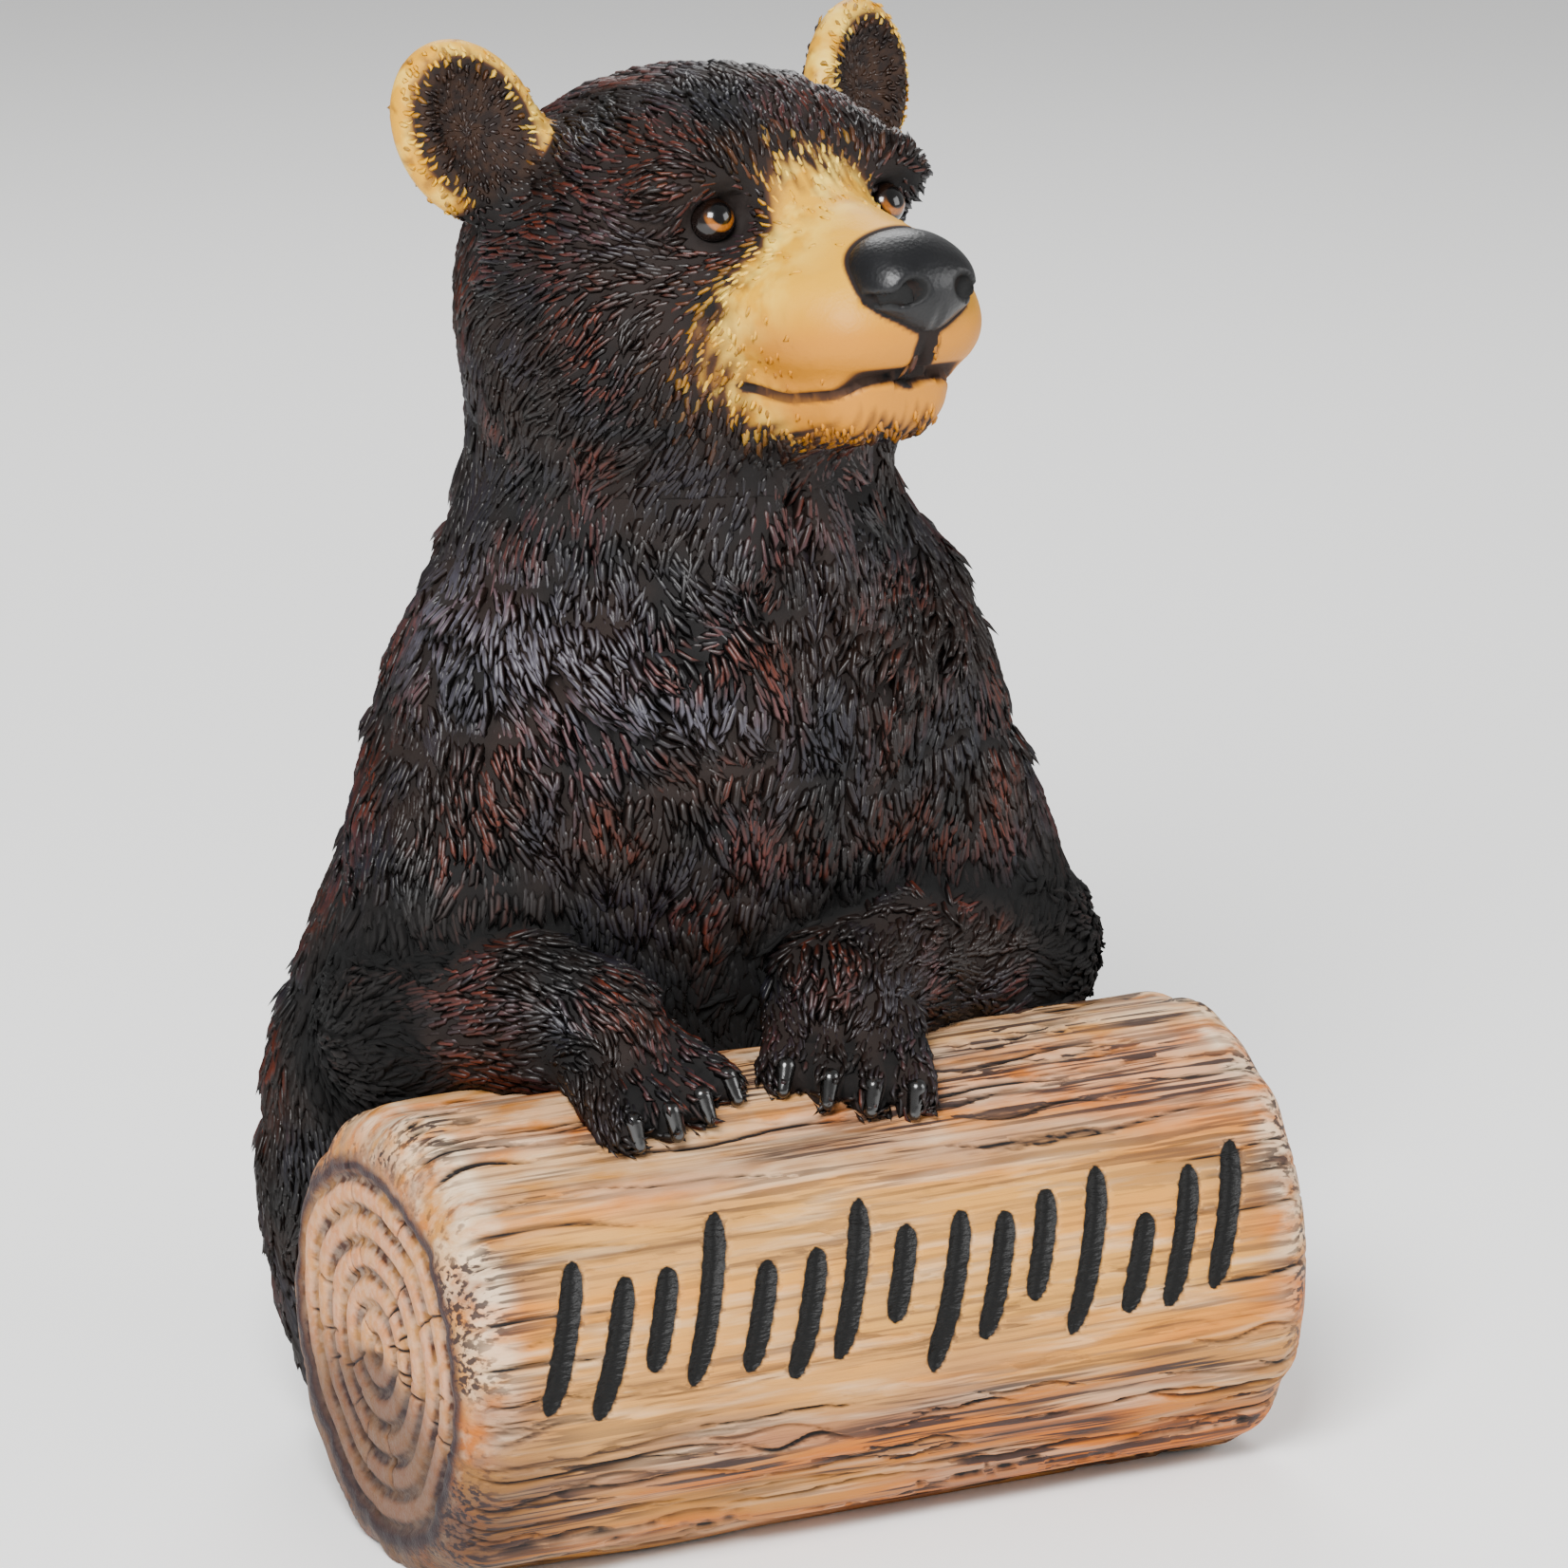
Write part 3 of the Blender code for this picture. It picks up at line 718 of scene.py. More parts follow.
def raise_tufts(p, normals, flow, tufts):
    """How far the tufts stand up from a skin, and its flow combed towards their tips."""
    tree = neighbours_of(p)
    height = np.zeros(len(p))
    combed = flow.copy()
    for root, ahead, normal, length, bend in tufts:
        near = np.array([hit[1] for hit in tree.find_range(root + ahead * length / 2, 0.6 * length)], int)
        if not len(near):
            continue
        away = p[near] - root
        run = away @ ahead / length
        half = 0.25 * length * np.sin(math.pi * np.clip(run, 0, 1) ** 0.62) ** 0.8 + 1e-6
        off = away @ np.cross(normal, ahead) - bend * 0.3 * length * run**2
        dome = np.sqrt(np.clip(1 - (off / half) ** 2, 0, 1)) * (run > 0) * (run < 1)
        rise = 0.135 * length * dome * (0.25 + 0.75 * run) * (np.abs(away @ normal) < 0.5 * length)
        higher = rise > height[near]
        who = near[higher]
        height[who] = rise[higher]
        tip = root + ahead * length * 1.3
        combed[who] = combed[who] * 0.4 + (tip - p[who]) / length
    return height, along_skin(combed, normals)


def deep_blacks_and_shades(p, arms):
    """Deepest black, part paint and part painted shade: under arms, low belly, between toes. Then the toes'
    slots alone.
    """
    torso = torso_distance(p, arms)
    fore = np.minimum.reduce([lump(arm["fore"] + arm["toes"], p, 3) for arm in arms])
    under_arms = within(torso, 1, 4) * within(fore, 3, 22) * ramp(fore, -1, 1.5)
    low_front = ramp(-p[:, 2], -158, -128) * ramp(-p[:, 1], -60, -35) * within(torso, 1, 4)
    slot = np.maximum.reduce([within(lump(arm["gaps"], p, 1), 0.1, 1.0) for arm in arms])
    return np.maximum.reduce([under_arms, low_front, slot * 0.9]), slot


def painted_sheen_patches(p):
    """1 in the two patches painted pale grey as a highlight: the right shoulder and the chest beside it."""
    x, y, z = p.T
    shoulder = np.exp(-(((x + 64) / 18) ** 2) - ((z - 226) / 18) ** 2)
    chest = np.exp(-(((x + 30) / 22) ** 2) - ((z - 212) / 6) ** 2)
    return np.maximum(shoulder, chest) * within(y, 60, 90)


def bare_edges(q, tan, cheek):
    """1 where no lock grows though the skin is painted: the muzzle's front and the ears' outer edges."""
    bald = ramp(tan, 0.5, 0.95) * (1 - 0.55 * cheek)
    for ear in EARS:
        r, across = on_ear(q, ear)
        edge = ramp(across, 0.8, 0.92) * ramp(r[:, 1], -3, 0) * within(distance_to(ear, q), 1, 4)
        bald = np.maximum(bald, edge * ramp(r[:, 2], -16, -8))
    return bald


def dress_skin(mesh, arms, tufts):
    """Raises the tufts and stores what the paint and the locks need."""
    p, normals = points_of(mesh), normals_of(mesh)
    q = in_head(p)
    cover = coat_cover(p, arms)
    tan = muzzle_tan(q)
    rim, cup = ear_parts(q)
    length = coat_length(p, arms)
    flow = flow_at(p, normals, arms)
    height, combed = raise_tufts(p, normals, flow, tufts)
    mean = 0.05 * length
    soft = 0.8 * cover * (1 - 0.75 * tan) * (1 - 0.7 * np.maximum(rim, cup))
    raised = p + normals * ((height - mean) * soft)[:, None]
    raised[:, 2] = np.maximum(raised[:, 2], 0)
    mesh.vertices.foreach_set("co", (raised * UNIT).ravel())
    mesh.update()
    # The locks lie half on the smooth skin and half on the tufts
    lie = 0.55 * normals + 0.45 * normals_of(mesh)
    warm = ramp(-q[:, 2], 2, 24) * ramp(-q[:, 1], 40, 70)
    cheek = within(-q[:, 1], 50, 84)
    # The deepest black is part black paint and part painted shade: under the arms, low on the belly, between
    # toes
    hollow, slot = deep_blacks_and_shades(p, arms)
    for name, values in {
        "flow": combed,
        "lie": lie / np.linalg.norm(lie, axis=1, keepdims=True),
        "tan": np.maximum(tan, rim),
        "cheek": np.maximum(cheek, rim),
        "warm": np.maximum(warm, 0.25 * rim),
        "cup": cup,
        "hollow": hollow,
        "crest": 0.35 * np.clip(height / (0.13 * length), 0, 1) * cover,
        "reach": length * (1 - 0.45 * ramp(tan, 0, 0.7)),
        # Patches of painted highlight on the right shoulder and the chest
        "frost": painted_sheen_patches(p),
        "fur": ramp(cover, 0.4, 0.9) * (1 - bare_edges(q, tan, cheek)) * (1 - 0.9 * slot),
    }.items():
        store(mesh, name, values)


# Materials


# Kinds of node used many times: type, settings, the inputs that are filled in order, and the output
COMMON_NODES = {
    "place": ("ShaderNodeTexCoord", {}, (), "Object"),
    "stored": ("ShaderNodeAttribute", {}, (), "Fac"),
    "noise": ("ShaderNodeTexNoise", {}, ("Vector", "Scale", "Detail"), "Fac"),
    "cells": ("ShaderNodeTexVoronoi", {}, ("Vector", "Scale"), "Distance"),
    "stretch": ("ShaderNodeMapping", {}, ("Vector", "Scale"), 0),
    "range": ("ShaderNodeMapRange", {}, ("_0", "_1", "_2", "_3", "_4"), 0),
    "times": ("ShaderNodeMath", {"operation": "MULTIPLY"}, ("_0", "_1"), 0),
    "plus": ("ShaderNodeMath", {"operation": "ADD"}, ("_0", "_1"), 0),
    "mix": ("ShaderNodeMix", {"data_type": "RGBA"}, ("_0", "_6", "_7"), 2),
    "mix_number": ("ShaderNodeMix", {"data_type": "FLOAT"}, ("_0", "_2", "_3"), 0),
    "bump": ("ShaderNodeBump", {}, ("Height", "Strength", "Distance"), 0),
    "named": ("GeometryNodeInputNamedAttribute", {}, ("Name",), "Attribute"),
    "chance": ("FunctionNodeRandomValue", {"data_type": "FLOAT"}, ("_2", "_3", "Seed"), 1),
}


def add_node(tree, kind, settings=None, **links):
    """Adds one node. A link's name is the socket's, or its place after an underscore."""
    node = tree.nodes.new(kind)
    for key, value in (settings or {}).items():
        setattr(node, key, value)
    for key, value in links.items():
        socket = node.inputs[int(key[1:])] if key[0] == "_" else node.inputs[key.replace("_", " ")]
        if isinstance(value, bpy.types.NodeSocket):
            tree.links.new(value, socket)
        else:
            socket.default_value = value
    return node


def common_node(tree, name, *values, **settings):
    """Adds one of the common nodes and gives its output."""
    kind, fixed, sockets, output = COMMON_NODES[name]
    return add_node(tree, kind, {**fixed, **settings}, **dict(zip(sockets, values))).outputs[output]


def new_material(name):
    """An empty material, a short way to add its nodes, and the place that its patterns read."""
    material = bpy.data.materials.new(name)
    material.use_nodes = True
    material.node_tree.nodes.clear()
    put = partial(common_node, material.node_tree)
    return material, put, put("place")


def close_material(material, **sockets):
    """Ends a material in its shader and output."""
    shader = add_node(material.node_tree, "ShaderNodeBsdfPrincipled", **sockets)
    add_node(material.node_tree, "ShaderNodeOutputMaterial", Surface=shader.outputs[0])
    return material


def overlay(put, colour, *coats):
    """Lays paints one over another, each in its share."""
    for share, over in coats:
        colour = put("mix", share, colour, over)
    return colour


def coat_material():
    """Polyresin, moulded and painted: near black, with red-brown and grey dry-brushed on the crests."""
    s = bpy.context.scene.coat_settings
    material, put, place = new_material("polyresin_painted_coat")
    masks = ("crest", "tint", "tan", "hollow", "warm", "cup", "frost", "cheek", "lock")
    stored = [put("stored", attribute_name=mask) for mask in masks]
    crest, tint, tan, hollow, warm, cup, frost, cheek, lock = stored

    def blotches(size_mm, low, high, detail=3.0):
        """0 to 1 in soft patches about that many millimetres across."""
        return put("range", put("noise", place, 1000 / size_mm, detail), low, high)

    # The black thins to umber in soft blotches. A dry brush leaves rust on the crests in some patches.
    # Slate grey on the crests of others is a painted sheen, the pale grey on the right shoulder and
    # chest is a painted highlight, and the hollows are near black, as paint and as painted shade
    crest_paint_and_sheen = put("range", crest, 0.35, 1.0)
    rusty = put("times", blotches(30, 0.47, 0.58), put("range", tint, 0.1, 0.8))
    sheen_share = put("times", blotches(23, 0.47, 0.62), crest_paint_and_sheen)
    dark = overlay(
        put,
        s.black,
        (blotches(26, 0.36, 0.6, 2.0), s.umber),
        (put("times", put("times", rusty, crest_paint_and_sheen), 0.9), s.rust),
        # Slate on the crests is a painted sheen
        (put("times", sheen_share, 0.4), s.sheen_slate),
        # The grey patches on the right shoulder and chest are a painted highlight
        (put("times", put("times", frost, crest_paint_and_sheen), 0.55), linear("#6d6b78")),
        (put("times", cup, 0.8), put("mix", blotches(3, 0.4, 0.6), s.cup, s.umber)),
        # Near black in the hollows: black paint and painted shade
        (put("times", hollow, 0.97), linear("#010101")),
    )
    # The muzzle is sprayed straw yellow, amber on the lips, with cream tips. Brown wash lies in
    # fine strokes towards the cheeks and on the rims of the ears
    few = put("range", tint, 0.26, 0.36, 1.0, 0.0)
    strokes = put("times", put("times", few, cheek), put("range", crest, 0.0, 0.4))
    pale = overlay(
        put,
        s.straw,
        (put("times", blotches(9, 0.42, 0.62), put("range", cheek, 0.0, 0.7)), s.cream),
        (put("range", warm, 0.1, 0.9), s.amber),
        (put("times", strokes, 0.75), linear("#6b3f12")),
    )
    # Tints move each lock's edge of the spray, so the two paints are combed together
    is_pale = put("range", put("plus", tan, put("times", tint, 0.3)), 0.3, 0.95)
    colour = overlay(
        put,
        dark,
        (put("range", is_pale, 0.0, 0.6), linear("#5a3416")),
        (put("range", is_pale, 0.25, 1.0), pale),
    )
    # Between the locks and in the hollows the paint is dull
    rough = put("range", put("noise", place, 1000 / 6, 4.0), 0.2, 0.9, 0.34, 0.55)
    rough = put("mix_number", lock, 0.85, rough)
    rough = put("mix_number", is_pale, rough, 0.5)
    rough = put("mix_number", hollow, rough, 0.95)
    # Brush marks and small pits in the cast paint, 0.9 mm across
    bump = put("bump", put("noise", place, 1000 / 0.9, 3.0), 0.25, 0.0004)
    return close_material(material, Base_Color=colour, Roughness=rough, Normal=bump, IOR=1.36)


def nose_material():
    """Polyresin with satin black paint: a soft sheen over fine pebbles."""
    s = bpy.context.scene.face_settings
    material, put, place = new_material("polyresin_satin_nose")
    blotch = put("noise", place, 1000 / 7, 3.0)
    pit = put("stored", attribute_name="pit")
    colour = overlay(put, s.nose, (blotch, linear("#0c0d10")), (pit, linear("#040404")))
    rough = put("mix_number", pit, put("range", blotch, 0.0, 1.0, 0.34, 0.46), 0.9)
    bump = put("bump", put("cells", place, 1000 / 1.1), 0.18, 0.0004)
    return close_material(material, Base_Color=colour, Roughness=rough, Normal=bump, IOR=1.42)


def claw_material():
    """Gloss black enamel on the claws: sharp small highlights."""
    s = bpy.context.scene.face_settings
    material, put, place = new_material("enamel_gloss_claws")
    blotch = put("noise", place, 1000 / 4, 2.0)
    colour = put("mix", blotch, s.claw, linear("#0c0a09"))
    rough = put("range", blotch, 0.0, 1.0, 0.16, 0.26)
    return close_material(material, Base_Color=colour, Roughness=rough, IOR=1.65)


def eye_material():
    """Gloss enamel eyes: a black pupil in an amber iris, under clear varnish."""
    s = bpy.context.scene.face_settings
    material, put, place = new_material("enamel_gloss_eyes")
    gaze = put("stored", attribute_name="from_pupil")
    lit = put("stored", attribute_name="low")
    iris = put("mix", put("noise", place, 1000 / 0.9, 3.0), s.iris, linear("#5c2f10"))
    # The iris is amber only low down: above, it is painted dark brown as the shade of the upper lid
    iris = put("mix", lit, linear("#140a06"), iris)
    past_pupil = put("range", gaze, s.pupil_radius - 0.0002, s.pupil_radius + 0.0003)
    past_iris = put("range", gaze, s.iris_radius - 0.0003, s.iris_radius + 0.0004)
    colour = overlay(put, linear("#060505"), (past_pupil, iris), (past_iris, linear("#120c0a")))
    varnish = {"IOR": 1.4, "Coat_Weight": 0.25, "Coat_Roughness": 0.05}
    return close_material(material, Base_Color=colour, Roughness=0.16, **varnish)


def log_material():
    """Polyresin moulded as debarked wood and painted tan, with a dark wash left in the cuts."""
    s = bpy.context.scene.log_settings
    material, put, place = new_material("polyresin_painted_wood")
    masks = ("cut", "stroke", "end", "bark", "crack", "panel", "ridge", "groove", "soot")
    stored = [put("stored", attribute_name=mask) for mask in masks]
    cut, stroke, end, bark, crack, panel, ridge, groove, soot = stored

    def grain(length_mm, width_mm, detail=3.0):
        """Noise stretched along the log: streaks of that length and width."""
        stretch = (1000 / length_mm, 1000 / width_mm, 1000 / width_mm)
        return put("noise", put("stretch", place, stretch), 1.0, detail)

    def streaks(length_mm, width_mm, low, high, detail=3.0):
        """0 to 1 in streaks of that length and width."""
        return put("range", grain(length_mm, width_mm, detail), low, high)

    def mottle(size_mm):
        """0 to 1 in patches about that many millimetres across."""
        return put("range", put("noise", place, 1000 / size_mm, 3.0), 0.42, 0.6)

    faces = overlay(
        put,
        linear("#bb7c4f"),
        (put("range", groove, 0.05, 0.5), linear("#3a1c0e")),
        (put("times", mottle(10), 0.55), linear("#b98348")),
        (put("times", mottle(3), 0.22), linear("#dcc0a8")),
    )
    # The dark wash has run into the grain in patches, less of it behind the strokes
    washed = put("times", streaks(52, 1.5, 0.49, 0.56, 5.0), streaks(70, 22, 0.38, 0.54, 2.0))
    in_stroke = put("range", stroke, 0.08, 0.2)
    colour = overlay(
        put,
        s.tan,
        (streaks(120, 16, 0.42, 0.6), s.honey),
        (put("times", streaks(90, 9, 0.47, 0.62), 0.7), s.drab),
        (put("times", panel, 0.55), linear("#cb9440")),
        (put("times", streaks(45, 4, 0.52, 0.7), 0.35), s.chalk),
        # Chalk on the ridge mask is a painted highlight on the top and the lit rims
        (put("times", put("times", ridge, streaks(14, 5, 0.35, 0.6, 4.0)), 0.7), s.chalk),
        (put("times", washed, put("range", panel, 0.0, 1.0, 0.95, 0.3)), linear("#2a2020")),
        (put("times", streaks(80, 2.6, 0.58, 0.66, 4.0), 0.6), linear("#4a3226")),
        (end, faces),
        (bark, s.bark),
        (put("range", cut, 0.1, 0.6), s.wash),
        (put("range", crack, 0.3, 0.8), s.wash),
        # Darker paint low down at the bear's right end
        (put("times", soot, 0.75), linear("#241d20")),
        (in_stroke, linear("#020202")),
    )
    fibres = put("plus", grain(30, 1.2, 4.0), put("times", grain(9, 0.6, 2.0), 0.4))
    bump = put("bump", fibres, 0.6, 0.0008)
    rough = put("mix_number", in_stroke, put("range", grain(20, 5), 0.0, 1.0, 0.45, 0.7), 0.5)
    return close_material(material, Base_Color=colour, Roughness=rough, Normal=bump, IOR=1.3)


# The carved locks


def lock_shape(name, bend):
    """One lock, a unit long from root to tip: a low ridge with pointed ends, curved to one side."""
    bm = bmesh.new()
    stations = ((0.28, 0.50, 0.75), (0.68, 0.44, 1.0))  # share of the length, half width, height
    root = bm.verts.new((0, 0, -0.4))
    tip = bm.verts.new((1, bend * 0.6, 0.25))
    loops = []
    for share, half, rise in stations:
        sway = -bend * 4 * share * (1 - share) * 0.5
        corners = ((sway - half, -0.25), (sway, rise), (sway + half, -0.25))
        loops.append([bm.verts.new((share, y, z)) for y, z in corners])
    for n in range(3):
        m = (n + 1) % 3
        bm.faces.new((root, loops[0][n], loops[0][m]))
        bm.faces.new((loops[0][n], loops[1][n], loops[1][m], loops[0][m]))
        bm.faces.new((loops[1][n], tip, loops[1][m]))
    bmesh.ops.triangulate(bm, faces=bm.faces)
    bmesh.ops.recalc_face_normals(bm, faces=bm.faces)
    mesh = mesh_from(bm, name)
    store(mesh, "crest", np.array([max(v.co.z, 0) for v in mesh.vertices]))
    store(mesh, "lock", np.ones(len(mesh.vertices)))
    return bpy.data.objects.new(name, mesh)


def lock_tree():
    """Strews locks over a skin, each lying along the skin's flow."""
    tree = bpy.data.node_groups.new("carved_locks", "GeometryNodeTree")
    panel = tree.interface
    panel.new_socket("Geometry", in_out="INPUT", socket_type="NodeSocketGeometry")
    panel.new_socket("Locks", in_out="INPUT", socket_type="NodeSocketCollection")
    for name in ("Spacing", "Width", "Height"):
        panel.new_socket(name, in_out="INPUT", socket_type="NodeSocketFloat")
    panel.new_socket("Seed", in_out="INPUT", socket_type="NodeSocketInt")
    panel.new_socket("Material", in_out="INPUT", socket_type="NodeSocketMaterial")
    panel.new_socket("Geometry", in_out="OUTPUT", socket_type="NodeSocketGeometry")
    given = add_node(tree, "NodeGroupInput").outputs
    put = partial(common_node, tree)

    def varied(value, low, high, offset):
        """The value times a number drawn for each lock."""
        return put("times", value, put("chance", low, high, put("plus", given["Seed"], offset)))

    spread = add_node(
        tree,
        "GeometryNodeDistributePointsOnFaces",
        {"distribute_method": "POISSON"},
        Mesh=given["Geometry"],
        Distance_Min=given["Spacing"],
        Density_Max=9e5,
        Density_Factor=put("named", "fur", data_type="FLOAT"),
        Seed=given["Seed"],
    )
    aim = add_node(
        tree,
        "FunctionNodeAxesToRotation",
        {"primary_axis": "Z", "secondary_axis": "X"},
        Primary_Axis=put("named", "lie", data_type="FLOAT_VECTOR"),
        Secondary_Axis=put("named", "flow", data_type="FLOAT_VECTOR"),
    )
    reach = put("named", "reach", data_type="FLOAT")
    # Short locks are narrower and lower than long ones
    share = put("range", reach, 2.0, 9.0, 0.45, 1.0)
    scale = add_node(
        tree,
        "ShaderNodeCombineXYZ",
        X=varied(put("times", reach, UNIT), 0.75, 1.3, 1),
        Y=put("times", varied(given["Width"], 0.75, 1.3, 2), share),
        Z=put("times", varied(given["Height"], 0.6, 1.3, 3), share),
    )
    kinds = add_node(
        tree,
        "GeometryNodeCollectionInfo",
        Collection=given["Locks"],
        Separate_Children=True,
        Reset_Children=True,
    )
    placed = add_node(
        tree,
        "GeometryNodeInstanceOnPoints",
        Points=spread.outputs["Points"],
        Instance=kinds.outputs[0],
        Pick_Instance=True,
        Rotation=aim.outputs[0],
        Scale=scale.outputs[0],
    )
    tinted = add_node(
        tree,
        "GeometryNodeStoreNamedAttribute",
        {"data_type": "FLOAT", "domain": "INSTANCE"},
        Geometry=placed.outputs[0],
        Name="tint",
        Value=varied(1.0, 0.0, 1.0, 4),
    )
    real = add_node(tree, "GeometryNodeRealizeInstances", Geometry=tinted.outputs[0])
    done = add_node(tree, "GeometryNodeSetMaterial", Geometry=real.outputs[0], Material=given["Material"])
    add_node(tree, "NodeGroupOutput", Geometry=done.outputs[0])
    return tree


def grow_locks(name, skin, tree, locks, material):
    """The locks of one skin, as a plain mesh of their own."""
    s = bpy.context.scene.coat_settings
    coat = add_piece(name, skin.data.copy())
    modifier = coat.modifiers.new("locks", "NODES")
    modifier.node_group = tree
    values = {
        "Locks": locks,
        "Spacing": s.lock_spacing,
        "Width": s.lock_width,
        "Height": s.lock_height,
        "Seed": s.seed,
        "Material": material,
    }
    for item in tree.interface.items_tree:
        if item.in_out == "INPUT" and item.name in values:
            modifier[item.identifier] = values[item.name]
    apply_modifiers(coat)
    coat.data.name = name
    return coat


# Operators


def coat_paint():
    """The coat's material, made once for all the pieces that wear it."""
    return bpy.data.materials.get("polyresin_painted_coat") or coat_material()


def all_forms(arms):
    """Every form with the matrix that carries it into the figure's frame."""
    placed = [(form, HEAD_PLACE) for form in SKULL + MUZZLE + JAW + NOSE + EARS + BROWS]
    placed += [(form, Matrix.Identity(4)) for form in TORSO]
    for arm in arms:
        for part in ("upper", "fore", "toes", "claws"):
            placed += [(form, Matrix.Identity(4)) for form in arm[part]]
    return placed


class BEAR_OT_skin(bpy.types.Operator):
    """Moulds the bear's skin: a fine head and a plainer body, gathered into tufts"""

    bl_idname = "bear.skin"
    bl_label = "Bear's skin"

    def execute(self, context):
        s = context.scene.coat_settings
        arms = make_arms()

        def distance(p):
            return bear_distance(p, arms)

        head = mould("head", all_forms(arms), distance, ((s.first_voxel, 4),))
        tufts = plan_tufts(head.data, arms)
        body = add_piece("body", head.data.copy())
        remesh(body, s.body_voxel)
        draw_onto_skin(body.data, distance, 3)
        dress_skin(body.data, arms, tufts)
        # The locks grow from a whole skin, so none stands on the cut between head and body
        add_piece("whole_skin", body.data.copy())
        keep_half(body, NECK_CUT * UNIT, above=False)
        remesh(head, s.head_voxel)
        # A little neck is kept until the head is dressed, so its cut edge is true
        spare_neck = 8.0
        keep_half(head, (NECK_CUT - spare_neck) * UNIT, above=True)
        draw_onto_skin(head.data, distance, 3)
        dress_skin(head.data, arms, tufts)
        keep_half(head, NECK_CUT * UNIT, above=True)
        for piece in (head, body):
            finish_piece(piece, coat_paint())
        return {"FINISHED"}


def part_by_height(coat, count):
    """Parts the coat in bands of whole locks, to keep each mesh light."""
    lock_points = 8  # as many as lock_shape makes
    p = points_of(coat.data)
    p[:, 2] = np.maximum(p[:, 2], 0)
    coat.data.vertices.foreach_set("co", (p * UNIT).ravel())
    middle = p.reshape(-1, lock_points, 3).mean(axis=1)
    bounds = np.quantile(middle[:, 2], [n / count for n in range(1, count)])
    bands = np.repeat(np.digitize(middle[:, 2], bounds), lock_points)
    found = []
    for band in range(count):
        piece = add_piece(f"coat_{band + 1}", coat.data.copy())
        bm = bmesh.new()
        bm.from_mesh(piece.data)
        bmesh.ops.delete(bm, geom=[v for v, b in zip(bm.verts, bands) if b != band], context="VERTS")
        bm.to_mesh(piece.data)
        bm.free()
        found.append(piece)
    bpy.data.objects.remove(coat)
    return found


class BEAR_OT_coat(bpy.types.Operator):
    """Carves the locks of the coat all over the skin"""

    bl_idname = "bear.coat"
    bl_label = "Carved coat"

    def execute(self, context):
        s = context.scene.coat_settings
        locks = bpy.data.collections.new("lock_shapes")
        for n, bend in enumerate((-0.5, -0.15, 0.2, 0.55)):
            locks.objects.link(lock_shape(f"lock_{n}", bend))
        skin = bpy.data.objects["whole_skin"]
        coat = grow_locks("coat", skin, lock_tree(), locks, coat_paint())
        for band in part_by_height(coat, s.bands):
            finish_piece(band)
        for spare in (skin, *locks.objects):
            bpy.data.objects.remove(spare)
        bpy.data.collections.remove(locks)
        return {"FINISHED"}


class BEAR_OT_face(bpy.types.Operator):
    """Sets the glossy eyes and the nose pad"""

    bl_idname = "bear.face"
    bl_label = "Eyes and nose"

    def execute(self, context):
        s = context.scene.face_settings
        eye_paint = eye_material()
        for side, place in zip(("right", "left"), EYES):
            bm = bmesh.new()
            bmesh.ops.create_uvsphere(bm, u_segments=48, v_segments=32, radius=s.eye_radius)
            mesh = mesh_from(bm, f"eye_{side}")
            # Both eyes look ahead, a little outwards and upwards
            gaze = Vector((0.12 * (-1 if side == "right" else 1), -1, 0.28)).normalized()
            local = np.array([v.co for v in mesh.vertices])
            angle = np.arccos(np.clip(local @ np.array(gaze) / s.eye_radius, -1, 1))
            socket = Matrix.Scale(UNIT, 4) @ HEAD_PLACE @ Matrix.Translation(place)
            mesh.transform(socket @ Matrix.Scale(1 / UNIT, 4))
            store(mesh, "from_pupil", angle * s.eye_radius)
            # 1 on the lower part of the eye: above it the iris is painted dark as the lid's shade
            store(mesh, "low", within(local[:, 2], -0.0012, 0.0022))
            finish_piece(add_piece(f"eye_{side}", mesh), eye_paint)

        def nose_skin(p):
            q = in_head(p)
            return carve(lump(NOSE, q, 5) - 0.5, lump(NOSTRILS + PHILTRUM, q, 1), 1.2)

        voxels = ((0.0012, 3), (s.nose_voxel, 2))
        nose = mould("nose_pad", [(form, HEAD_PLACE) for form in NOSE], nose_skin, voxels)
        q = in_head(points_of(nose.data))
        store(nose.data, "pit", within(lump(NOSTRILS, q, 1), 0.1, 0.9))
        finish_piece(nose, nose_material())
        return {"FINISHED"}


class BEAR_OT_claws(bpy.types.Operator):
    """Sets the glossy claws at the ends of the toes"""

    bl_idname = "bear.claws"
    bl_label = "Claws"

    def execute(self, context):
        s = context.scene.face_settings
        claw_paint = claw_material()
        for side, arm in zip(("right", "left"), make_arms()):

            def claw_skin(p, arm=arm):
                return lump(arm["claws"], p, 0.5) - 0.3

            placed = [(form, Matrix.Identity(4)) for form in arm["claws"]]
            claws = mould(f"claws_{side}", placed, claw_skin, ((s.nose_voxel, 3),))
            finish_piece(claws, claw_paint)
        return {"FINISHED"}


# The log


STROKE_TURN = math.radians(74)  # round the log, from its top to the row of strokes
STROKE_LEAN = math.radians(106)  # the strokes' own slope, from the log's length


def turns_of_log(radius):
    """Angles round the log, closer together on the front that carries the strokes."""
    front_step, back_step = 0.00072, 0.0017
    start, front_end, stop = math.radians(12), math.radians(132), math.radians(372)
    turns = [start]
    while turns[-1] < stop - 0.5 * front_step / radius:
        step = front_step if turns[-1] < front_end else back_step
        turns.append(turns[-1] + step / radius)
    # The last line goes where it falls almost on the first, one turn later
    crowded = turns[-1] > stop - math.radians(0.3)
    return np.array(turns[:-1] if crowded else turns)


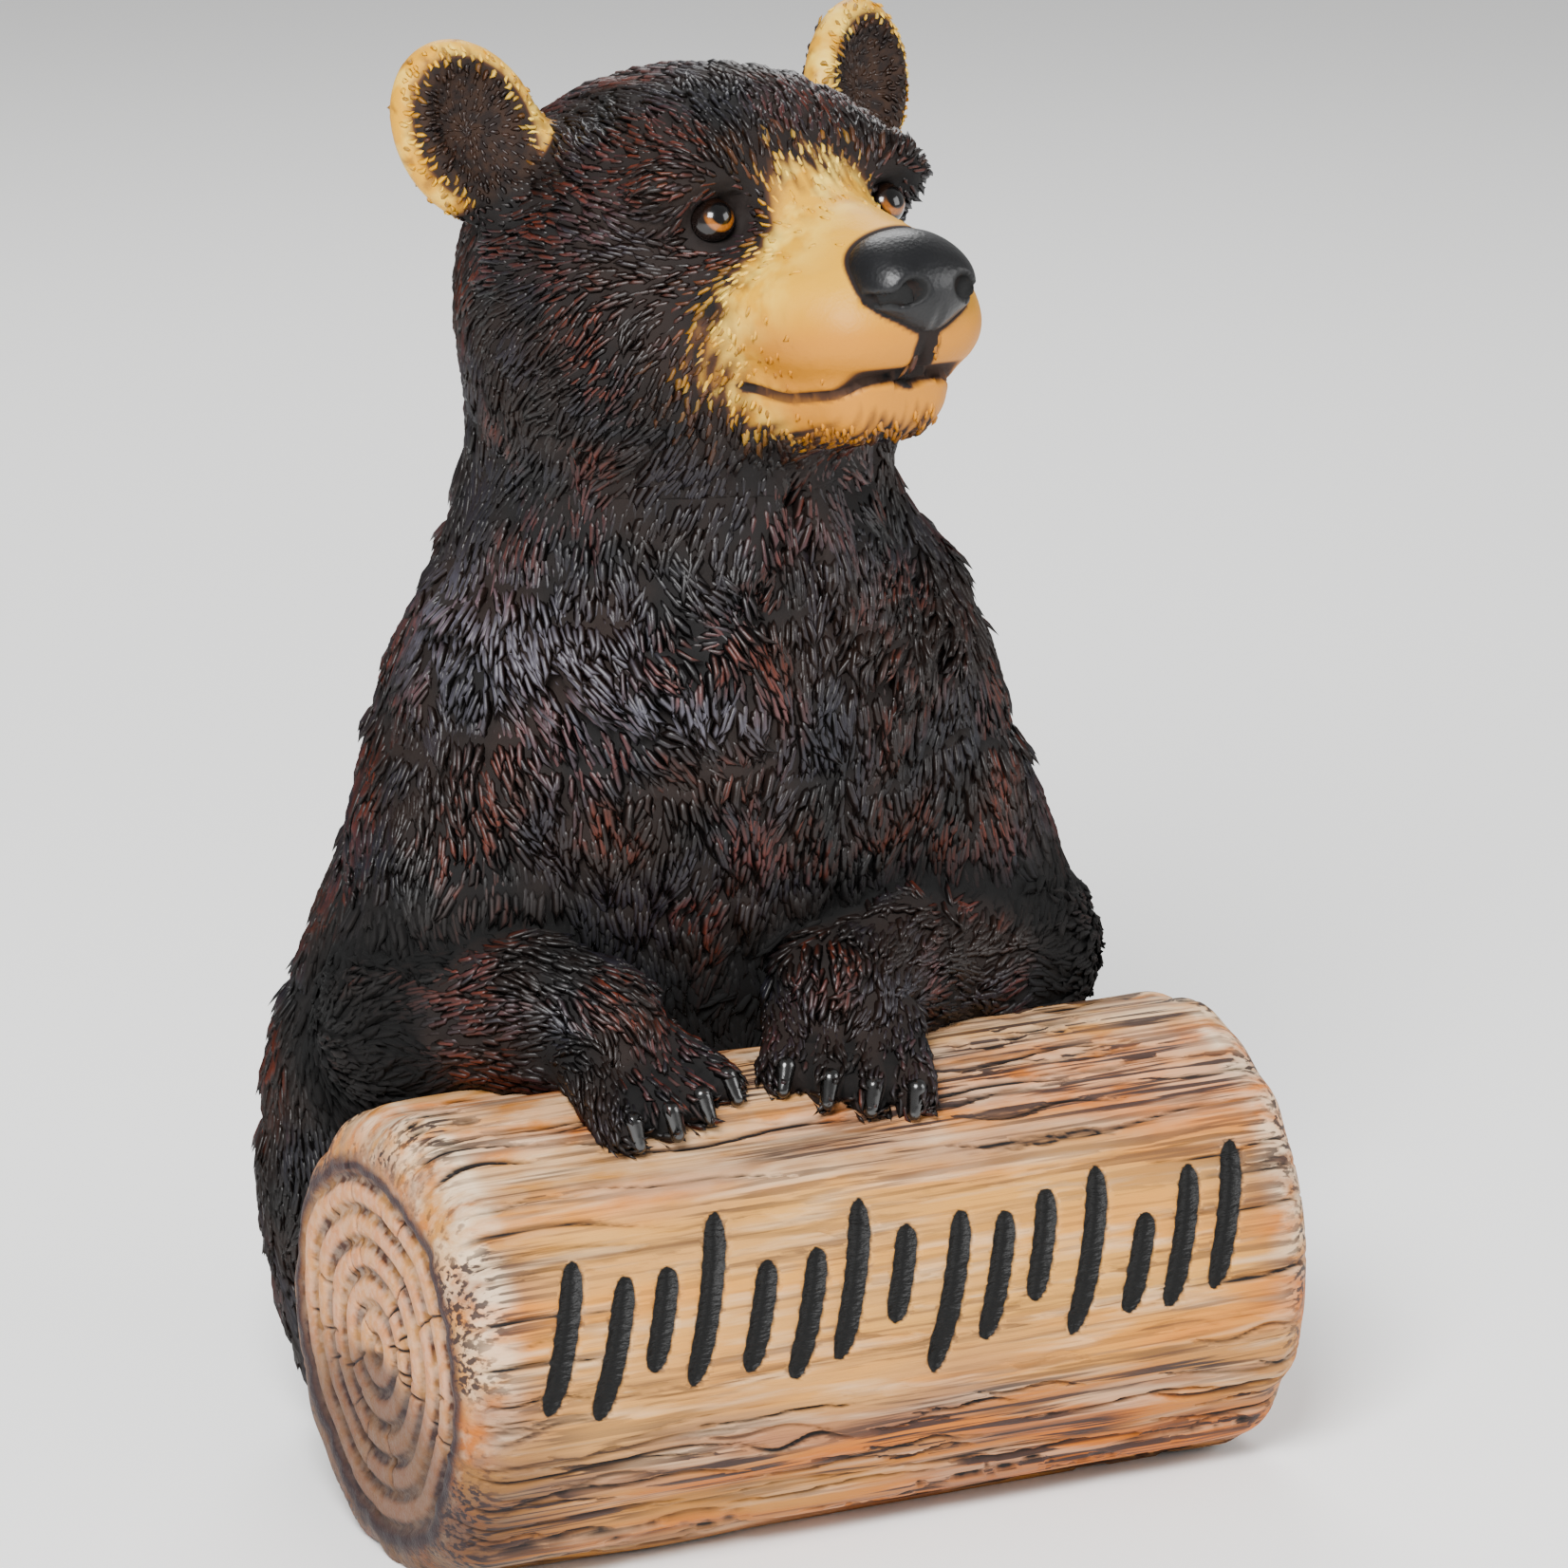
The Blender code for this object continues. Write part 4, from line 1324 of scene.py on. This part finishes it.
def leaf_cut(along, arc, middle, length, width, lean, wave=0.0, blunt=2):
    """How deep a cut is, 0 to 1, at places along and round the log. A blunt one has square ends."""
    dx, da = along - middle[0], arc - middle[1]
    run = dx * math.cos(lean) + da * math.sin(lean)
    off = -dx * math.sin(lean) + da * math.cos(lean) + wave * np.sin(run / length * 9)
    share = np.clip(np.abs(run) / (length / 2), 0, 1)
    fade = np.sqrt(1 - share**blunt)
    half = width / 2 * fade + 1e-9
    return np.clip(1 - np.abs(off) / half, 0, 1) * (share < 1) * fade


def log_relief(s, along, turn):
    """Depths and paint masks over the log's side, at places along and angles round it."""
    rng = np.random.default_rng(s.seed)
    radius = s.diameter / 2
    arc = (np.mod(turn, 2 * math.pi)) * radius
    wander = 0.5 * np.sin(along / 0.031) + 0.3 * np.sin(along / 0.013 + turn)
    furrows = np.sin(11 * turn + wander) + 0.7 * np.sin(19 * turn - 1.3 * wander)
    away = np.abs(np.arctan2(np.sin(turn - STROKE_TURN), np.cos(turn - STROKE_TURN)))
    calm = np.minimum(1, away / 0.5) ** 2
    round_out = 0.010 * np.sin(2 * turn + 0.6) + 0.008 * np.sin(3 * turn)
    height = radius * round_out + 0.6 * s.grain_depth * furrows * calm
    cuts = np.zeros_like(along)
    circle = 2 * math.pi * radius
    for _ in range(s.gouges):
        at = rng.uniform(-0.5, 0.5) * s.length
        around = rng.uniform(0, circle)
        length = rng.uniform(0.018, 0.085)
        width = rng.uniform(0.0011, 0.0030)
        lean = rng.normal(0, 0.045)
        weight = rng.uniform(0.4, 1.0)
        gap = (around / radius - STROKE_TURN + math.pi) % (2 * math.pi) - math.pi
        if abs(gap) < 0.46 and abs(at) < 0.1:
            weight *= 0.3
        for wrap in (-circle, 0, circle):
            near = np.abs(arc - around - wrap) < 0.012
            if near.any():
                cut = leaf_cut(along[near], arc[near] - wrap, (at, around), length, width, lean, width * 0.5)
                cuts[near] = np.maximum(cuts[near], weight * cut)
    strokes = np.zeros_like(along)
    for n in range(s.stroke_count):
        at = (n - (s.stroke_count - 1) / 2) * s.stroke_pitch
        length = s.stroke_length * (0.78 + 0.22 * math.sin(2.4 * n + 0.5))
        shift = 0.10 * s.stroke_length * math.sin(1.7 * n)
        middle = (at, STROKE_TURN * radius + shift)
        cut = leaf_cut(along, arc, middle, length, s.stroke_width, STROKE_LEAN, blunt=6)
        strokes = np.maximum(strokes, cut)
    height -= 0.0015 * np.sqrt(cuts) * (1 - np.minimum(1, 3 * strokes))
    height -= s.stroke_depth * np.sqrt(strokes)
    panel = within(away + 0.05 * np.sin(along / 0.011), 0.30, 0.62) * within(np.abs(along), 0.085, 0.118)
    return height, cuts, strokes, panel


def end_relief(s, share, turn, side):
    """Depths and paint masks over one sawn end: growth rings, cracks and bark."""
    rng = np.random.default_rng(s.seed + (1 if side < 0 else 2))
    radius = s.diameter / 2
    wobble = 0.045 * np.sin(2 * turn + 0.7) + 0.03 * np.sin(3 * turn + 2) + 0.012 * np.sin(7 * turn)
    r = share * radius * (1 + wobble * np.minimum(1, share * 2))
    flat = radius - s.edge_rounding
    phase = r / s.ring_spacing
    groove = 0.5 + 0.5 * np.cos(2 * math.pi * (phase - 0.35))
    groove = groove**3 * ramp(-r, -flat * 1.02, -flat * 0.93)
    cracks = np.zeros_like(share)
    for n in range(s.cracks):
        angle = rng.uniform(0, 2 * math.pi)
        start = rng.uniform(0.05, 0.75) * flat
        stop = start + rng.uniform(0.12, 0.4) * flat
        off = np.arctan2(np.sin(turn - angle), np.cos(turn - angle)) * r + 0.0006 * np.sin(r / 0.003 + n)
        run = ramp(r, start, start + 0.002) * ramp(-r, -stop, -stop + 0.002)
        cracks = np.maximum(cracks, run * np.clip(1 - np.abs(off) / 0.0009, 0, 1))
    bark = ramp(r, flat * 0.93, flat * 0.99) * ramp(-r, -flat * 1.10, -flat * 1.03)
    depth = s.ring_depth * groove + 0.0011 * cracks
    lumps = 0.0005 * np.sin(23 * turn) * np.sin(9 * turn + 1) * bark
    return depth - lumps, groove, cracks, bark


def log_loops(s):
    """The loops of points from end to end: share of the radius, place along, and which end or 0."""
    half = s.length / 2
    flat = 1 - s.edge_rounding / (s.diameter / 2)
    end = [(share, half) for share in np.linspace(0, flat, 40)[1:]]
    for bend in np.linspace(0, math.pi / 2, 12)[1:-1]:
        share = flat + (1 - flat) * math.sin(bend)
        end.append((share, half - s.edge_rounding * (1 - math.cos(bend))))
    loops = [(share, -along, -1) for share, along in end]
    loops += [(1.0, along, 0) for along in np.linspace(s.edge_rounding - half, half - s.edge_rounding, 158)]
    return loops + [(share, along, 1) for share, along in reversed(end)]


def close_loops(name, points, count):
    """A closed mesh over loops of count points each. The last two points are its poles."""
    ring = np.arange(count)
    ahead = np.roll(ring, -1)
    first, last = len(points) - 2, len(points) - 1
    end = first - count
    bands = []
    for start in range(0, end, count):
        bands.append(np.stack((ring, ahead, count + ahead, count + ring), axis=1) + start)
    faces = np.concatenate(bands).tolist()
    pairs = list(zip(ring.tolist(), ahead.tolist()))
    faces += [(first, m, n) for n, m in pairs]
    faces += [(last, end + n, end + m) for n, m in pairs]
    mesh = bpy.data.meshes.new(name)
    mesh.from_pydata(points.tolist(), [], faces)
    bm = bmesh.new()
    bm.from_mesh(mesh)
    bmesh.ops.recalc_face_normals(bm, faces=bm.faces)
    bm.to_mesh(mesh)
    bm.free()
    return mesh


class BEAR_OT_log(bpy.types.Operator):
    """Turns the log, with its grain, gouges, growth rings and row of chisel strokes"""

    bl_idname = "bear.log"
    bl_label = "Log"

    def execute(self, context):
        s = context.scene.log_settings
        radius, half = s.diameter / 2, s.length / 2
        flat = 1 - s.edge_rounding / radius
        turns = turns_of_log(radius)
        loops = log_loops(s)
        share, along, side = (np.repeat(column, len(turns)) for column in zip(*loops))
        turn = np.tile(turns, len(loops))
        height, cut, stroke, panel = log_relief(s, along, turn)
        fade = ramp(share, flat * 0.98, 1.0)
        reach = share * (radius + height * share**3)
        masks = {"cut": cut * ramp(share, 0.92, 1.0), "stroke": stroke * fade, "panel": panel * fade}
        for key in ("end", "groove", "crack", "bark"):
            masks[key] = np.zeros_like(share)
        inset = np.zeros_like(share)
        for which in (-1, 1):
            here = side == which
            depth, groove, cracks, bark = end_relief(s, share[here], turn[here], which)
            on_face = ramp(-share[here], -0.97, -flat)
            inset[here] = depth * on_face
            masks["end"][here] = ramp(-share[here], -flat * 1.05, -flat)
            masks["groove"][here] = groove
            masks["crack"][here] = cracks * on_face
            masks["bark"][here] = bark
        # Chalk is painted as a highlight on the lit side of the rims round the ends and along the top,
        # and the paint is darker low down at the bear's right end
        near_end = ramp(np.abs(along), half - 0.018, half - 0.010)
        end_rims = np.where(side == 0, near_end, ramp(share, flat + 0.02, 0.97))
        lit = ramp(np.cos(turn - math.radians(30)), 0.2, 0.9)
        masks["ridge"] = end_rims * lit + 0.5 * ramp(np.cos(turn), 0.55, 0.95) * (side == 0)
        # Darker low down at the bear's right end
        masks["soot"] = ramp(-along, 0.075, 0.115) * ramp(-np.cos(turn), -0.2, 0.6)
        points = np.stack((along - side * inset, -reach * np.sin(turn), reach * np.cos(turn)), axis=1)
        points = np.concatenate((points, ((-half, 0, 0), (half, 0, 0))))
        points[:, 2] = np.maximum(points[:, 2] + radius - LOG_FLAT_DEPTH, 0)
        mesh = close_loops("log", points, len(turns))
        for name, values in masks.items():
            store(mesh, name, np.append(values, (0, 0)))
        mesh.update()
        finish_piece(add_piece("log", mesh), log_material())
        return {"FINISHED"}


# The stage


def set_lights(s):
    """Even light all round, a key softbox on the left, and weaker ones right and behind."""
    scene = bpy.context.scene
    scene.world = bpy.data.worlds.new("studio")
    scene.world.use_nodes = True
    sky = scene.world.node_tree.nodes["Background"]
    sky.inputs["Color"].default_value = linear("#ffffff")
    sky.inputs["Strength"].default_value = s.sky
    aim = Vector((0, 0.04, 0.2))
    for name, place, width, strength in (
        ("key", (-0.9, -1.1, 1.35), 0.7, s.key_power),
        ("fill", (1.3, -0.9, 0.7), 0.9, s.fill_power),
        ("back", (0.5, 1.3, 1.3), 0.8, s.fill_power),
    ):
        lamp = bpy.data.lights.new(name, "AREA")
        lamp.size = width
        lamp.energy = strength
        box = bpy.data.objects.new(name, lamp)
        box.location = place
        box.rotation_euler = (aim - Vector(place)).to_track_quat("-Z", "Y").to_euler()
        scene.collection.objects.link(box)


def set_camera():
    """Sets the camera where the photograph was taken: it was worked out from the log's outline."""
    azimuth, elevation = math.radians(-26.4), math.radians(15.8)
    focal, pixel, photo_width = 8700.0, 0.0002447, 1652
    log_left, log_below = 20, 512  # from the photograph's middle to the log's, in its pixels
    right = Vector((math.cos(azimuth), math.sin(azimuth), 0))
    level = Vector((math.sin(azimuth), -math.cos(azimuth), 0))
    back = level * math.cos(elevation) + Vector((0, 0, math.sin(elevation)))
    up = back.cross(right)
    target = Vector((0, 0, 0.058)) - right * log_left * pixel + up * log_below * pixel
    camera = bpy.data.objects.new("camera", bpy.data.cameras.new("camera"))
    camera.location = target + back * (focal * pixel)
    camera.rotation_euler = Matrix((right, up, back)).transposed().to_euler()
    camera.data.sensor_width = 36
    camera.data.lens = camera.data.sensor_width * focal / photo_width
    bpy.context.scene.collection.objects.link(camera)
    bpy.context.scene.camera = camera


class BEAR_OT_stage(bpy.types.Operator):
    """Sets the pale floor, soft light and camera"""

    bl_idname = "bear.stage"
    bl_label = "Stage"

    def execute(self, context):
        s = context.scene.stage_settings
        bm = bmesh.new()
        bmesh.ops.create_grid(bm, x_segments=1, y_segments=1, size=12)
        floor = add_piece("floor", mesh_from(bm, "floor"))
        material, put, place = new_material("studio_paper")
        rough = put("range", put("noise", place, 3.0), 0.0, 1.0, 0.75, 0.9)
        floor.data.materials.append(close_material(material, Base_Color=tuple(s.floor), Roughness=rough))
        set_lights(s)
        set_camera()
        return {"FINISHED"}


class BEAR_PT_panel(bpy.types.Panel):
    """Lists the statue's settings and steps"""

    bl_idname = "BEAR_PT_panel"
    bl_label = "Bear on a Log"
    bl_space_type = "VIEW_3D"
    bl_region_type = "UI"
    bl_category = "Bear on a Log"

    def draw(self, context):
        layout = self.layout
        for title, group, operators in STEPS:
            box = layout.box()
            box.label(text=title)
            settings = getattr(context.scene, group)
            for name in settings.__annotations__:
                box.prop(settings, name)
            for operator in operators:
                box.operator(operator)


STEPS = (
    ("Coat", "coat_settings", ("bear.skin", "bear.coat")),
    ("Face and claws", "face_settings", ("bear.face", "bear.claws")),
    ("Log", "log_settings", ("bear.log",)),
    ("Stage", "stage_settings", ("bear.stage",)),
)
GROUPS = {
    "coat_settings": CoatSettings,
    "face_settings": FaceSettings,
    "log_settings": LogSettings,
    "stage_settings": StageSettings,
}
CLASSES = (
    *GROUPS.values(),
    BEAR_OT_skin,
    BEAR_OT_coat,
    BEAR_OT_face,
    BEAR_OT_claws,
    BEAR_OT_log,
    BEAR_OT_stage,
    BEAR_PT_panel,
)


def register():
    for cls in CLASSES:
        bpy.utils.register_class(cls)
    for name, group in GROUPS.items():
        setattr(bpy.types.Scene, name, PointerProperty(type=group))


def unregister():
    for name in GROUPS:
        delattr(bpy.types.Scene, name)
    for cls in reversed(CLASSES):
        bpy.utils.unregister_class(cls)


def main():
    register()
    for _, _, operators in STEPS:
        for operator in operators:
            group, name = operator.split(".")
            getattr(getattr(bpy.ops, group), name)()


if __name__ == "__main__":
    main()
